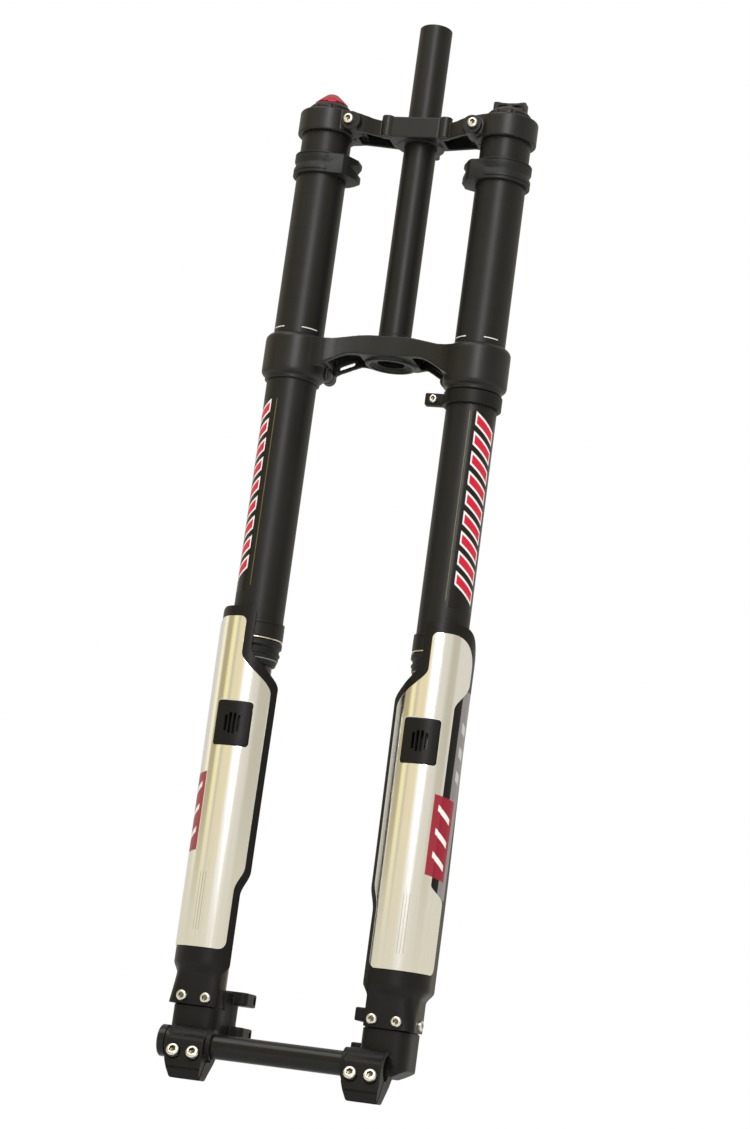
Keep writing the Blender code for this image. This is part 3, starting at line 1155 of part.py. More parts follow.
def make_fork():
    make_steerer()
    make_upper_crown()
    make_upper_crown_bolts()
    make_lower_crown()
    make_lower_crown_bolts()
    make_hose_guide()
    make_rebound_knob()
    make_lockout_lever()
    make_axle()
    cartridges = {"left": ("damper", STANCHION_BORE_R - DAMPER_TO_STANCHION),
                  "right": ("air_spring", STANCHION_BORE_R - AIR_TO_STANCHION)}
    for word, side in SIDES.items():
        purpose, radius = cartridges[word]
        make_outer_tube(word)
        make_frame_bumper(word, side)
        make_seal_head(word)
        make_fixed_bushing(word)
        make_top_cap(word, radius)
        make_cartridge(word, purpose, radius)
        make_stanchion(word)
        make_piston_rod(word, purpose, radius)
        make_dropout(word, side)
        make_foot_bolt(word)
        make_pinch_bolts(word, side)
        make_guard(word, side)
        make_guard_plate(word, side)


make_fork()
bpy.context.view_layer.update()
print("pieces:", sum(1 for thing in PARTS.objects if thing.type == "MESH"))
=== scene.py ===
# %% [markdown]
# # Dressing a dual-crown suspension fork
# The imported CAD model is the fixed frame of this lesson: its bodies, joints and sizes stay as they are.
# Its solids are faceted and plain, so every piece that is seen gets a finer stand-in, which rides on the
# same body. Left and right are those of someone who looks at the fork from its front.

# %% Load the frame
import json
import math

import bpy
from mathutils import Matrix, Vector


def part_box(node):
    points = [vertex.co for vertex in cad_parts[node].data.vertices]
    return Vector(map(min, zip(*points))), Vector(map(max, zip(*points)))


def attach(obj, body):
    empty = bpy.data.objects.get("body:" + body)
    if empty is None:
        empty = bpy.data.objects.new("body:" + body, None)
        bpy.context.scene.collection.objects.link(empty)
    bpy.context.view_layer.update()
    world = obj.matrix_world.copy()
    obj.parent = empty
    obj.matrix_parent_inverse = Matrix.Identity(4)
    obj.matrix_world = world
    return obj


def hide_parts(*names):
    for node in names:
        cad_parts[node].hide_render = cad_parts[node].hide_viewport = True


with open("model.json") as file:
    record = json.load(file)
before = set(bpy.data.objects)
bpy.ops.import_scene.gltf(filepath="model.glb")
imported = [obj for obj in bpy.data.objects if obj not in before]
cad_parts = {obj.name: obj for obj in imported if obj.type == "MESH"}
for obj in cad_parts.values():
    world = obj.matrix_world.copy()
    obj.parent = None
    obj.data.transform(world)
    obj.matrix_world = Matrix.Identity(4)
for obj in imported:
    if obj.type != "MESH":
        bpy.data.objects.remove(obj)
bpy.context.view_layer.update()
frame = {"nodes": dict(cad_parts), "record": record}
BODY_OF = {node: body for body, nodes in frame["record"]["behaviour"]["bodies"].items() for node in nodes}
SLOT_OF = {part["node"]: part["material_slot"] for part in frame["record"]["subparts"]}
MM = 0.001
SIDES = {"left": -1, "right": 1}

# %% [markdown]
# ## Camera
# The photograph was taken from a little below the fork and from its right, and the picture is rolled.
# The camera's axes are worked out from those angles, so that no tracking constraint is needed. A long lens
# with a vertical fit keeps the frame's height the same in every render size.

# %% Place the camera
AZIMUTH = math.radians(15.99)
ELEVATION = math.radians(-11.41)
ROLL = math.radians(7.73)
DISTANCE = 2.329
AIM = Vector((0.0098, 0.0, -0.192))

ahead = Vector((-math.sin(AZIMUTH) * math.cos(ELEVATION), math.cos(AZIMUTH) * math.cos(ELEVATION),
                -math.sin(ELEVATION)))
level = Vector((math.cos(AZIMUTH), math.sin(AZIMUTH), 0.0))
upright = level.cross(ahead)
right = level * math.cos(ROLL) + upright * math.sin(ROLL)
up = upright * math.cos(ROLL) - level * math.sin(ROLL)
bpy.ops.object.camera_add()
camera = bpy.context.object
camera.name = "photo_camera"
camera.matrix_world = Matrix.Translation(AIM - ahead * DISTANCE) @ Matrix((right, up, -ahead)).transposed().to_4x4()
camera.data.sensor_fit = "VERTICAL"
camera.data.sensor_height = 36.0
camera.data.lens = 87.43
bpy.context.scene.camera = camera
bpy.context.scene.view_settings.view_transform = "Standard"
print("camera at", [round(value, 3) for value in camera.location])

# %% [markdown]
# ## Shader sums
# Every finish here is drawn by nodes. A small class wraps a socket, so that a pattern can be written as a
# Python sum, and one method adds any other node. Constants go straight on the shader's own sockets.


# %% Wrap a socket
class Signal:
    """One output socket of a finish. A sum of signals adds Math nodes."""

    def __init__(self, finish, socket):
        self.finish = finish
        self.socket = socket

    def math(self, operation, *others):
        values = dict(enumerate((self,) + others))
        return self.finish.add("ShaderNodeMath", {"operation": operation}, values)

    def __add__(self, other):
        return self.math("ADD", other)

    def __sub__(self, other):
        return self.math("SUBTRACT", other)

    def __rsub__(self, other):
        return self.finish.add("ShaderNodeMath", {"operation": "SUBTRACT"}, {0: other, 1: self})

    def __mul__(self, other):
        return self.math("MULTIPLY", other)

    def __truediv__(self, other):
        return self.math("DIVIDE", other)

    def __abs__(self):
        return self.math("ABSOLUTE")

    __radd__ = __add__
    __rmul__ = __mul__

    def step(self, start, end):
        """A soft step from 0 at start to 1 at end."""
        settings = {"interpolation_type": "SMOOTHSTEP"}
        low, high, swap = (start, end, False) if start < end else (end, start, True)
        made = self.finish.add("ShaderNodeMapRange", settings, {0: self, 1: low, 2: high})
        return 1 - made if swap else made

    def within(self, low, high, soft):
        """1 between low and high, 0 outside, with soft edges."""
        return self.step(low - soft, low + soft) * self.step(high + soft, high - soft)

    def repeat(self, length):
        """How far along its stretch of that length a value is, from 0 to 1."""
        return (self / length).math("FRACT")


# %% Build a finish
class Finish:
    """A material with one Principled shader, whose patterns read Object coordinates."""

    def __init__(self, name, **constants):
        self.material = bpy.data.materials.new(name)
        self.material.use_nodes = True
        self.nodes = self.material.node_tree.nodes
        self.links = self.material.node_tree.links
        self.shader = self.nodes["Principled BSDF"]
        for socket, value in constants.items():
            self.shader.inputs[socket.replace("_", " ")].default_value = value
        self.place = self.add("ShaderNodeTexCoord", output="Object")

    def add(self, kind, settings=None, inputs=None, output=0):
        node = self.nodes.new(kind)
        for name, value in (settings or {}).items():
            if name == "stops":
                self.fill_ramp(node.color_ramp, value)
            else:
                setattr(node, name, value)
        for name, value in (inputs or {}).items():
            if isinstance(value, Signal):
                self.links.new(value.socket, node.inputs[name])
            else:
                node.inputs[name].default_value = value
        return Signal(self, node.outputs[output])

    def fill_ramp(self, ramp, stops):
        ramp.interpolation = "EASE"
        while len(ramp.elements) < len(stops):
            ramp.elements.new(1.0)
        for element, (position, shade) in zip(ramp.elements, stops):
            element.position = position
            element.color = colour(*shade)

    def axes(self):
        split = self.add("ShaderNodeSeparateXYZ", inputs={0: self.place}).socket.node
        return [Signal(self, socket) for socket in split.outputs]

    def noise(self, scale, detail=2.0, stretch=(1, 1, 1)):
        """Noise of that scale per metre, drawn out along an axis whose stretch is small."""
        where = self.add("ShaderNodeMapping", inputs={"Vector": self.place, "Scale": stretch})
        return self.add("ShaderNodeTexNoise", inputs={"Vector": where, "Scale": scale, "Detail": detail})

    def mix(self, amount, first, second):
        return self.add("ShaderNodeMix", {"data_type": "RGBA"}, {0: amount, 6: first, 7: second}, 2)

    def feed(self, socket, value):
        self.links.new(value.socket, self.shader.inputs[socket])

    def show(self, shader):
        """Put another shader in the place of the plain one."""
        self.links.new(shader.socket, self.nodes["Material Output"].inputs["Surface"])

    def bump(self, height, strength, distance=0.0005):
        made = self.add("ShaderNodeBump", inputs={"Height": height, "Strength": strength, "Distance": distance})
        self.feed("Normal", made)


def colour(red, green, blue):
    return (red, green, blue, 1.0)


print("a finish is a material, a shader and the sums that feed it")

# %% [markdown]
# ## Stage
# A white studio: the world is white to the camera and to mirrors, and gives a plain soft light. The floor
# is white to the camera too, and keeps the fork's shadow. The leg guards are mirrors, so what they show is
# the room. A round wall with soft bands of warm, grey and white paint stands for that room, and it is seen
# only in reflections.

# %% Light the white room
world = bpy.data.worlds.new("white_room")
bpy.context.scene.world = world
world.use_nodes = True
sky = world.node_tree
sky.nodes.clear()
path = sky.nodes.new("ShaderNodeLightPath")
seen = path.outputs["Is Camera Ray"]
for ray in ("Is Glossy Ray", "Is Transmission Ray"):
    either = sky.nodes.new("ShaderNodeMath")
    either.operation = "MAXIMUM"
    sky.links.new(seen, either.inputs[0])
    sky.links.new(path.outputs[ray], either.inputs[1])
    seen = either.outputs[0]
soft_light = sky.nodes.new("ShaderNodeBackground")
soft_light.inputs["Color"].default_value = colour(1.0, 0.985, 0.96)
soft_light.inputs["Strength"].default_value = 0.55
white = sky.nodes.new("ShaderNodeBackground")
white.inputs["Color"].default_value = colour(1.0, 1.0, 1.0)
mixed = sky.nodes.new("ShaderNodeMixShader")
sky.links.new(seen, mixed.inputs[0])
sky.links.new(soft_light.outputs[0], mixed.inputs[1])
sky.links.new(white.outputs[0], mixed.inputs[2])
sky.links.new(mixed.outputs[0], sky.nodes.new("ShaderNodeOutputWorld").inputs["Surface"])


def add_lamp(name, azimuth, height, distance, size, power, mirrored_by_metal):
    """A rectangular lamp that faces the fork, at an azimuth from the front towards the right."""
    turn = math.radians(azimuth)
    place = Vector((math.sin(turn) * distance, -math.cos(turn) * distance, height))
    bpy.ops.object.light_add(type="AREA", location=place)
    lamp = bpy.context.object
    lamp.name = name
    lamp.rotation_euler = (AIM - place).to_track_quat("-Z", "Y").to_euler()
    lamp.data.shape = "RECTANGLE"
    lamp.data.size, lamp.data.size_y = size
    lamp.data.energy = power
    lamp.visible_glossy = mirrored_by_metal


add_lamp("tall_softbox", 12, 1.20, 2.6, (0.60, 2.4), 55, True)
add_lamp("top_softbox", -35, 2.2, 1.6, (1.6, 1.6), 26, True)
add_lamp("side_softbox", 105, 0.5, 2.4, (0.8, 2.0), 14, False)
print("three softboxes and a white world")

# %% Lay the floor
FLOOR_Z = -0.70
bpy.ops.mesh.primitive_plane_add(size=9.0, location=(0, 0, FLOOR_Z))
floor = bpy.context.object
floor.name = "studio_floor"
paper = Finish("white_paper", Roughness=0.9, Specular_IOR_Level=0.0)
paper.feed("Base Color", paper.mix(paper.noise(3.0), colour(0.90, 0.90, 0.89), colour(0.94, 0.94, 0.93)))
bright = paper.add("ShaderNodeEmission", inputs={"Strength": 1.12})
direct = paper.add("ShaderNodeLightPath", output="Is Camera Ray")
lit = Signal(paper, paper.shader.outputs[0])
paper.show(paper.add("ShaderNodeMixShader", inputs={0: direct * 0.86, 1: lit, 2: bright}))
floor.data.materials.append(paper.material)
print("floor at", FLOOR_Z)

# %% Paint the room that the mirrors see
PAINTS = {"plaster": (0.70, 0.68, 0.62), "cream": (1.00, 0.95, 0.70), "olive": (0.48, 0.41, 0.24),
          "yellow": (1.00, 0.90, 0.50), "tan": (0.86, 0.74, 0.47), "white": (1.10, 1.08, 1.10),
          "grey": (0.75, 0.71, 0.62), "shade": (0.56, 0.52, 0.41)}
ROOM = ((-180, "plaster"), (-112, "plaster"), (-98, "cream"), (-90, "cream"), (-84, "olive"), (-66, "olive"),
        (-59, "yellow"), (-49, "yellow"), (-43, "shade"), (-33, "tan"), (-12, "tan"), (1, "white"), (13, "white"),
        (24, "grey"), (44, "grey"), (58, "shade"), (73, "shade"), (83, "grey"), (110, "grey"), (180, "plaster"))
ROOM_RADIUS, ROOM_HEIGHT, ROOM_MIDDLE = 3.4, 6.0, 2.2
bpy.ops.mesh.primitive_cylinder_add(vertices=96, radius=ROOM_RADIUS, depth=ROOM_HEIGHT, end_fill_type="NOTHING",
                                    location=(0, 0, ROOM_MIDDLE))
room = bpy.context.object
room.name = "room_wall"
room.data.transform(Matrix.Translation(room.location))
room.location = (0, 0, 0)
paint = Finish("room_paint", Roughness=1.0, Specular_IOR_Level=0.0, Base_Color=colour(0, 0, 0),
               Emission_Strength=1.0)
x, y, z = paint.axes()
turn = x.math("ARCTAN2", 0 - y) / (2 * math.pi) + 0.5
stops = [(angle / 360 + 0.5, PAINTS[word]) for angle, word in ROOM]
bands = paint.add("ShaderNodeValToRGB", {"stops": stops}, {0: turn})
paint.feed("Emission Color", paint.mix(z.step(-0.24, -0.12), colour(0.74, 0.69, 0.56), bands))
room.data.materials.append(paint.material)
for kind in ("camera", "diffuse", "shadow", "transmission", "volume_scatter"):
    setattr(room, "visible_" + kind, False)
print("room wall with", len(ROOM), "stops of paint")

# %% [markdown]
# ## A modeller's hands
# The helpers below do what a modeller does by hand: add a primitive, select by place, extrude, spin, cut
# with another solid, round the edges. A turned piece is half a section, drawn by extruding a point, and
# then spun about its axis. A casting is a few solids joined, remeshed into one skin, smoothed so that the
# corners become fillets, and bored last, so that the bores stay crisp.


# %% Helpers for selection and modifiers
def clear_selection():
    if bpy.context.mode != "OBJECT":
        bpy.ops.object.mode_set(mode="OBJECT")
    bpy.ops.object.select_all(action="DESELECT")


def added(name):
    """The primitive that was just added, under its own name."""
    piece = bpy.context.object
    piece.name = piece.data.name = name
    return piece


def activate(piece):
    """Select one piece and make it the active one."""
    clear_selection()
    piece.select_set(True)
    bpy.context.view_layer.objects.active = piece


def edit_all(piece):
    """Open a piece in edit mode with everything selected."""
    activate(piece)
    bpy.ops.object.mode_set(mode="EDIT")
    bpy.ops.mesh.select_mode(type="VERT")
    bpy.ops.mesh.select_all(action="SELECT")


def close_edit():
    """Weld what meets, turn the faces outwards and leave edit mode."""
    bpy.ops.mesh.select_all(action="SELECT")
    bpy.ops.mesh.remove_doubles(threshold=0.000002)
    bpy.ops.mesh.normals_make_consistent(inside=False)
    bpy.ops.object.mode_set(mode="OBJECT")


def modify(piece, kind, **settings):
    """Add a modifier, set it and apply it."""
    activate(piece)
    modifier = piece.modifiers.new(kind.lower(), kind)
    for name, value in settings.items():
        setattr(modifier, name, value)
    bpy.ops.object.modifier_apply(modifier=modifier.name)
    return piece


def soften(piece, width, segments=2, angle=32):
    """Round every edge that is sharper than the angle."""
    return modify(piece, "BEVEL", width=width * MM, segments=segments, limit_method="ANGLE",
                  angle_limit=math.radians(angle))


def carve(piece, tool, operation="DIFFERENCE"):
    """Cut, join or intersect with another solid, which is then thrown away."""
    modify(piece, "BOOLEAN", object=tool, operation=operation, solver="MANIFOLD")
    bpy.data.objects.remove(tool)
    return piece


# %% Helpers for turned pieces, prisms and castings
def lathe(name, profile, axis=(0.0, 0.0, 0.0), steps=96, along="Z", ring=True):
    """Spin a section of (radius, height) points, in millimetres, about an axis."""
    if ring:
        profile = profile + profile[:1]
    centre = Vector(axis) * MM
    if along == "Z":
        points = [centre + Vector((radius, 0, height)) * MM for radius, height in profile]
        turn = (0, 0, 1)
    else:
        points = [centre + Vector((height, 0, radius)) * MM for radius, height in profile]
        turn = (1, 0, 0)
    clear_selection()
    bpy.ops.mesh.primitive_plane_add(size=MM)
    piece = added(name)
    edit_all(piece)
    bpy.ops.mesh.merge(type="CENTER")
    bpy.ops.transform.translate(value=points[0])
    for start, end in zip(points, points[1:]):
        bpy.ops.mesh.extrude_vertices_move(TRANSFORM_OT_translate={"value": end - start})
    bpy.ops.mesh.select_all(action="SELECT")
    bpy.ops.mesh.spin(steps=steps, angle=2 * math.pi, center=centre, axis=turn)
    close_edit()
    return piece


def prism(name, outline, view, low, high):
    """Extrude an outline, in millimetres: a plan along Z, a front view along Y or a side view along X."""
    place = {"plan": lambda a, b, c: (a, b, c), "front": lambda a, b, c: (a, c, b),
             "side": lambda a, b, c: (c, a, b)}[view]
    clear_selection()
    bpy.ops.mesh.primitive_circle_add(vertices=len(outline), radius=MM, fill_type="NGON")
    piece = added(name)
    for vertex, (across, rise) in zip(piece.data.vertices, outline):
        vertex.co = Vector(place(across, rise, low)) * MM
    edit_all(piece)
    way = (Vector(place(0, 0, high)) - Vector(place(0, 0, low))) * MM
    bpy.ops.mesh.extrude_region_move(TRANSFORM_OT_translate={"value": way})
    close_edit()
    return piece


def rod(name, start, end, radius, steps=64):
    """A round bar between two points, in millimetres."""
    start, end = Vector(start), Vector(end)
    clear_selection()
    bpy.ops.mesh.primitive_cylinder_add(vertices=steps, radius=radius * MM, depth=(end - start).length * MM)
    piece = added(name)
    turn = (end - start).to_track_quat("Z", "Y").to_matrix().to_4x4()
    piece.data.transform(Matrix.Translation((start + end) / 2 * MM) @ turn)
    return piece


def fuse(name, solids, grain, passes):
    """Join solids, remesh them into one skin and smooth its corners into fillets."""
    clear_selection()
    for solid in solids:
        solid.select_set(True)
    bpy.context.view_layer.objects.active = solids[0]
    bpy.ops.object.join()
    piece = added(name)
    piece.data.remesh_voxel_size = grain * MM
    bpy.ops.object.voxel_remesh()
    return modify(piece, "SMOOTH", factor=0.5, iterations=passes)


def mirrored(outline, side):
    """An outline drawn for the right leg, turned over for the left one."""
    return [(side * across, rise) for across, rise in outline]


def whole(half):
    """A symmetrical outline, from its right half."""
    return half + mirrored(half[::-1], -1)


def span(side, inner, outer):
    """The low and high end of a stretch on one side, between two distances from the middle."""
    return sorted((side * inner, side * outer))


def arc(centre, radius, start, end, steps):
    """Points on an arc, by angles in degrees."""
    turns = [math.radians(start + (end - start) * i / steps) for i in range(steps + 1)]
    return [(centre[0] + radius * math.cos(t), centre[1] + radius * math.sin(t)) for t in turns]


def blend(value, start, end):
    """A smooth step from 0 at start to 1 at end."""
    t = min(1.0, max(0.0, (value - start) / (end - start)))
    return t * t * (3 - 2 * t)


def dress(piece, finish, nodes, angle=35):
    """Give a piece its finish, and let it stand for CAD nodes on their body."""
    activate(piece)
    bpy.ops.object.shade_smooth_by_angle(angle=math.radians(angle))
    piece.data.materials.clear()
    piece.data.materials.append(finish.material)
    nodes = [nodes] if isinstance(nodes, str) else nodes
    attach(piece, BODY_OF[nodes[0]])
    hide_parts(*nodes)
    return piece


print("helpers ready")

# %% [markdown]
# ## Black finishes
# Almost everything here is black, and what tells the pieces apart is how they shine: the tubes are satin
# anodised alloy with fine turning marks, the crowns and feet are painted castings, the guards are moulded
# plastic and the bumpers and seals are rubber. Each black gets its own roughness, grain and slight tint.

# %% Measures that the patterns share
tube_low, tube_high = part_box("outer_tube_right")
LEG_X = (tube_low[0] + tube_high[0]) / 2
LEG_Y = (tube_low[1] + tube_high[1]) / 2
TUBE_R = (tube_high[0] - tube_low[0]) / 2
axle_low, axle_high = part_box("through_axle")
AXLE_Y = (axle_low[1] + axle_high[1]) / 2
AXLE_Z = (axle_low[2] + axle_high[2]) / 2
print("leg axis", round(LEG_X, 4), round(LEG_Y, 4), "tube radius", round(TUBE_R, 4), "axle", round(AXLE_Z, 4))


def leg_angle(finish):
    """Angle round a leg, in radians: 0 at the front, positive towards the outer side."""
    x, y, z = finish.axes()
    return (abs(x) - LEG_X).math("ARCTAN2", LEG_Y - y), z


# %% Satin anodised alloy, with and without the tube's markings
def turned_black(name, marks, smoothest=0.33):
    finish = Finish(name, Metallic=0.0, Specular_IOR_Level=0.22)
    turning = finish.noise(700.0, 3.0, (0.02, 0.02, 6.0))
    cloud = finish.noise(22.0, 3.0)
    base = finish.mix(cloud, colour(0.0066, 0.0063, 0.0056), colour(0.0112, 0.0106, 0.0094))
    rough = smoothest + 0.10 * cloud + 0.05 * turning
    if marks:
        base, rough = tube_marks(finish, base, rough)
    finish.feed("Base Color", base)
    finish.feed("Roughness", rough)
    finish.bump(turning, 0.05)
    return finish


def tube_marks(finish, base, rough):
    """Height lines, a gloss label band with slanted red bars edged in white, and a gold pinstripe."""
    angle, z = leg_angle(finish)
    front = angle.within(math.radians(-62), math.radians(-22), 0.02) + angle.within(0.36, 0.98, 0.02)
    top_line = z.within(0.0026, 0.0034, 0.0002)
    base = finish.mix(front * top_line * 0.85, base, colour(0.82, 0.82, 0.80))
    ticks = abs((z - 0.012).repeat(0.032) - 0.5).step(0.012, 0.006) * z.within(0.02, 0.135, 0.001)
    base = finish.mix(ticks * angle.within(-0.5, 0.7, 0.05) * 0.8, base, colour(0.0028, 0.0027, 0.0024))
    label = z.within(-0.2315, -0.0625, 0.0004) * angle.within(0.25, 1.62, 0.01)
    rough = rough - label * 0.17
    along = z + angle * 0.0150
    stripe = along.repeat(0.0172)
    rows = along.within(-0.2064, -0.0516, 0.0003)
    edge = stripe.within(0.12, 0.80, 0.02) * angle.within(0.46, 1.42, 0.008) * rows
    red = stripe.within(0.24, 0.68, 0.02) * angle.within(0.52, 1.36, 0.008) * rows
    base = finish.mix(edge, base, colour(0.80, 0.72, 0.70))
    base = finish.mix(red, base, colour(0.50, 0.012, 0.035))
    pin = angle.within(0.185, 0.215, 0.006) * z.within(-0.226, -0.062, 0.0004)
    base = finish.mix(pin * 0.8, base, colour(0.16, 0.135, 0.045))
    return base, rough


tube_black = turned_black("satin_black_tube", True)
plain_black = turned_black("satin_black_alloy", False)
gloss_black = turned_black("gloss_black_alloy", False, 0.12)


# %% Painted castings, moulded plastic and rubber
def grained_black(name, dark, light, rough, grain, strength, shine, line=None):
    finish = Finish(name, Metallic=0.0, Specular_IOR_Level=shine)
    cloud = finish.noise(30.0, 3.0)
    fine = finish.noise(grain, 2.0)
    base = finish.mix(cloud, colour(*dark), colour(*light))
    if line:
        ring = finish.axes()[2].within(line - 0.0004, line + 0.0004, 0.0002)
        base = finish.mix(ring, base, colour(0.24, 0.24, 0.22))
    finish.feed("Base Color", base)
    finish.feed("Roughness", rough + 0.12 * cloud + 0.06 * fine)
    finish.bump(fine, strength)
    return finish


RUBBER = ((0.0068, 0.0068, 0.0064), (0.0112, 0.0112, 0.0106), 0.38, 2200.0, 0.10, 0.24)
WIPER_LINE_Z = -0.2862
crown_black = grained_black("painted_forging", (0.0062, 0.0060, 0.0052), (0.0105, 0.0100, 0.0086),
                            0.30, 1500.0, 0.06, 0.28)
cast_black = grained_black("painted_casting", (0.0050, 0.0045, 0.0037), (0.0086, 0.0077, 0.0063),
                           0.36, 1500.0, 0.06, 0.17)
rubber = grained_black("rubber", *RUBBER)
wiper_rubber = grained_black("wiper_rubber", *RUBBER, WIPER_LINE_Z)
lever_black = grained_black("moulded_lever", (0.0070, 0.0070, 0.0072), (0.0108, 0.0108, 0.0110),
                            0.32, 1800.0, 0.05, 0.25)
PATCH_RED, PATCH_PALE = colour(0.27, 0.010, 0.026), colour(0.78, 0.76, 0.72)


def red_patch(finish, angle, z):
    """Where the guard's slanted red patch is, and the pale strokes on it."""
    patch = (z + angle * 0.004).within(-0.450, -0.384, 0.0005) * angle.within(0.62, 1.48, 0.006)
    slope = z + angle * 0.018 + 0.4308
    strokes = slope.repeat(0.0190).within(0.37, 0.63, 0.02) * slope.within(0.0, 0.0570, 0.0005)
    return patch, strokes * angle.within(0.78, 1.32, 0.008)


def guard_black():
    """Moulded plastic, with the grey band and the red patch on the guard's outer face."""
    finish = Finish("guard_plastic", Metallic=0.0, Specular_IOR_Level=0.18)
    cloud = finish.noise(26.0, 3.0)
    fine = finish.noise(1900.0, 2.0)
    angle = leg_angle(finish)[0]
    x, y, z = finish.axes()
    across, before = abs(x) - LEG_X, (LEG_Y - y).math("MAXIMUM", 0.0)
    outer_face = (across * across + before * before).math("SQRT").step(0.0276, 0.0280)
    base = finish.mix(cloud, colour(0.0052, 0.0045, 0.0041), colour(0.0084, 0.0074, 0.0068))
    band = angle.within(1.19, 1.80, 0.006) * z.within(-0.470, -0.298, 0.0006) * outer_face
    base = finish.mix(band, base, finish.mix(cloud, colour(0.200, 0.182, 0.184), colour(0.250, 0.230, 0.232)))
    slope = z + angle * 0.012
    bars = slope.repeat(0.020).within(0.20, 0.62, 0.02) * slope.within(-0.362, -0.302, 0.0004)
    base = finish.mix(bars * band * angle.within(1.34, 1.62, 0.008), base, colour(0.50, 0.50, 0.48))
    patch, strokes = red_patch(finish, angle, z)
    base = finish.mix(patch * outer_face, base, PATCH_RED)
    base = finish.mix(strokes * outer_face, base, PATCH_PALE)
    finish.feed("Base Color", base)
    finish.feed("Roughness", 0.30 + 0.10 * cloud - 0.06 * band)
    finish.bump(fine, 0.05)
    return finish


guard_plastic = guard_black()
print("black finishes:", tube_black.material.name, cast_black.material.name, guard_plastic.material.name)

# %% [markdown]
# ## Bright finishes
# The guards' plates are rolled and polished alloy, which shows as a mirror with faint lines along the leg.
# Bolts are zinc plated steel, the wire rings are gold coloured and the rebound knob is red anodised.


# %% The plates, and other metals
def polished_plate():
    """A mirror with faint lines along the leg, thin printed lines at the foot and the red patch."""
    finish = Finish("polished_plate")
    lines = finish.noise(260.0, 3.0, (6.0, 6.0, 0.03))
    angle, z = leg_angle(finish)
    patch, strokes = red_patch(finish, angle, z)
    print_lines = angle.repeat(0.085).within(0.44, 0.56, 0.05) * angle.within(0.09, 0.34, 0.01)
    print_lines = print_lines * z.within(-0.518, -0.470, 0.0005)
    base = finish.mix(lines, colour(0.86, 0.86, 0.84), colour(0.94, 0.94, 0.92))
    base = finish.mix(print_lines * 0.7, base, colour(0.16, 0.15, 0.14))
    base = finish.mix(patch, base, PATCH_RED)
    finish.feed("Base Color", finish.mix(strokes, base, PATCH_PALE))
    finish.feed("Metallic", 1 - patch)
    finish.feed("Roughness", 0.12 + 0.06 * lines + 0.16 * patch)
    finish.bump(lines, 0.010)
    return finish


def metal(name, dark, light, rough, spread, stretch, grain, strength, socket=False):
    finish = Finish(name, Metallic=1.0)
    lines = finish.noise(grain, 3.0, stretch)
    cloud = finish.noise(40.0, 3.0)
    base = finish.mix(cloud * 0.5 + lines * 0.5, colour(*dark), colour(*light))
    # Where a face carries the socket mark, the base colour turns dark olive: painted shade, standing for the shade that
    # falls in the hexagon's hollow.
    if socket:
        inside = finish.add("ShaderNodeAttribute", {"attribute_name": "socket"}, output="Fac")
        base = finish.mix(inside, base, colour(0.150, 0.132, 0.095))
    finish.feed("Base Color", base)
    finish.feed("Roughness", rough + spread * lines)
    finish.bump(lines, strength)
    return finish


polished = polished_plate()
EVEN, TURNED = (1, 1, 1), (0.05, 0.05, 4.0)
# Zinc bolts get painted shade inside their hexagon sockets.
zinc = metal("zinc_plated_steel", (0.56, 0.54, 0.48), (0.76, 0.74, 0.67), 0.18, 0.14, EVEN, 900.0, 0.03, True)
black_steel = metal("black_steel", (0.020, 0.019, 0.018), (0.034, 0.032, 0.030), 0.30, 0.14, EVEN, 900.0, 0.03)
gold_wire = metal("gold_wire", (0.66, 0.60, 0.42), (0.84, 0.79, 0.62), 0.24, 0.12, EVEN, 900.0, 0.02)
bronze = metal("bushing_bronze", (0.42, 0.30, 0.16), (0.55, 0.42, 0.24), 0.34, 0.12, EVEN, 700.0, 0.03)
bare_alloy = metal("bare_alloy", (0.50, 0.50, 0.51), (0.66, 0.66, 0.67), 0.28, 0.14, TURNED, 500.0, 0.03)
red_anodised = metal("red_anodised", (0.30, 0.004, 0.014), (0.48, 0.014, 0.034), 0.20, 0.14, EVEN, 900.0, 0.03)
print("bright finishes:", polished.material.name, zinc.material.name, red_anodised.material.name)

# %% [markdown]
# ## Steerer and outer tubes
# These are plain turned tubes, so each one is a section spun round its axis. The small chamfers at the
# ends are part of the section.

# %% Turn the steerer
foot_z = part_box("steerer_tube")[0][2] / MM
rise_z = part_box("steerer_tube")[1][2] / MM - 4.0
steerer = lathe("steerer", [(12.0, rise_z - 0.8), (12.7, rise_z), (13.4, rise_z), (14.3, rise_z - 0.9), (14.3, 8.8),
                            (15.0, 8.0), (15.0, 0.4), (14.3, 0.3), (14.3, foot_z), (12.0, foot_z)])
dress(steerer, plain_black, "steerer_tube")
print("steerer from", round(foot_z, 1), "to", round(rise_z, 1), "mm")

# %% Turn the outer tubes
legs = {word: (side * LEG_X / MM, LEG_Y / MM, 0.0) for word, side in SIDES.items()}
tube_foot, tube_top = tube_low[2] / MM, tube_high[2] / MM
radius = TUBE_R / MM
for word, axis in legs.items():
    tube = lathe("tube_" + word, [(19.7, tube_foot), (radius, tube_foot), (radius, tube_top - 0.6),
                                  (radius - 0.6, tube_top), (20.2, tube_top), (19.7, tube_top - 0.5)], axis)
    dress(tube, tube_black, "outer_tube_" + word)
print("outer tubes from", round(tube_foot, 1), "to", round(tube_top, 1), "mm")

# %% [markdown]
# ## Upper crown
# A forged bridge: a barrel round each leg, a rounded ear that holds the pinch bolt, arms whose tops dip
# towards the middle, and a flat block between two round pillars in front of the steerer. Underneath it is
# hollow, to save weight. It is fused from simple solids, because its corners all flow into each other.

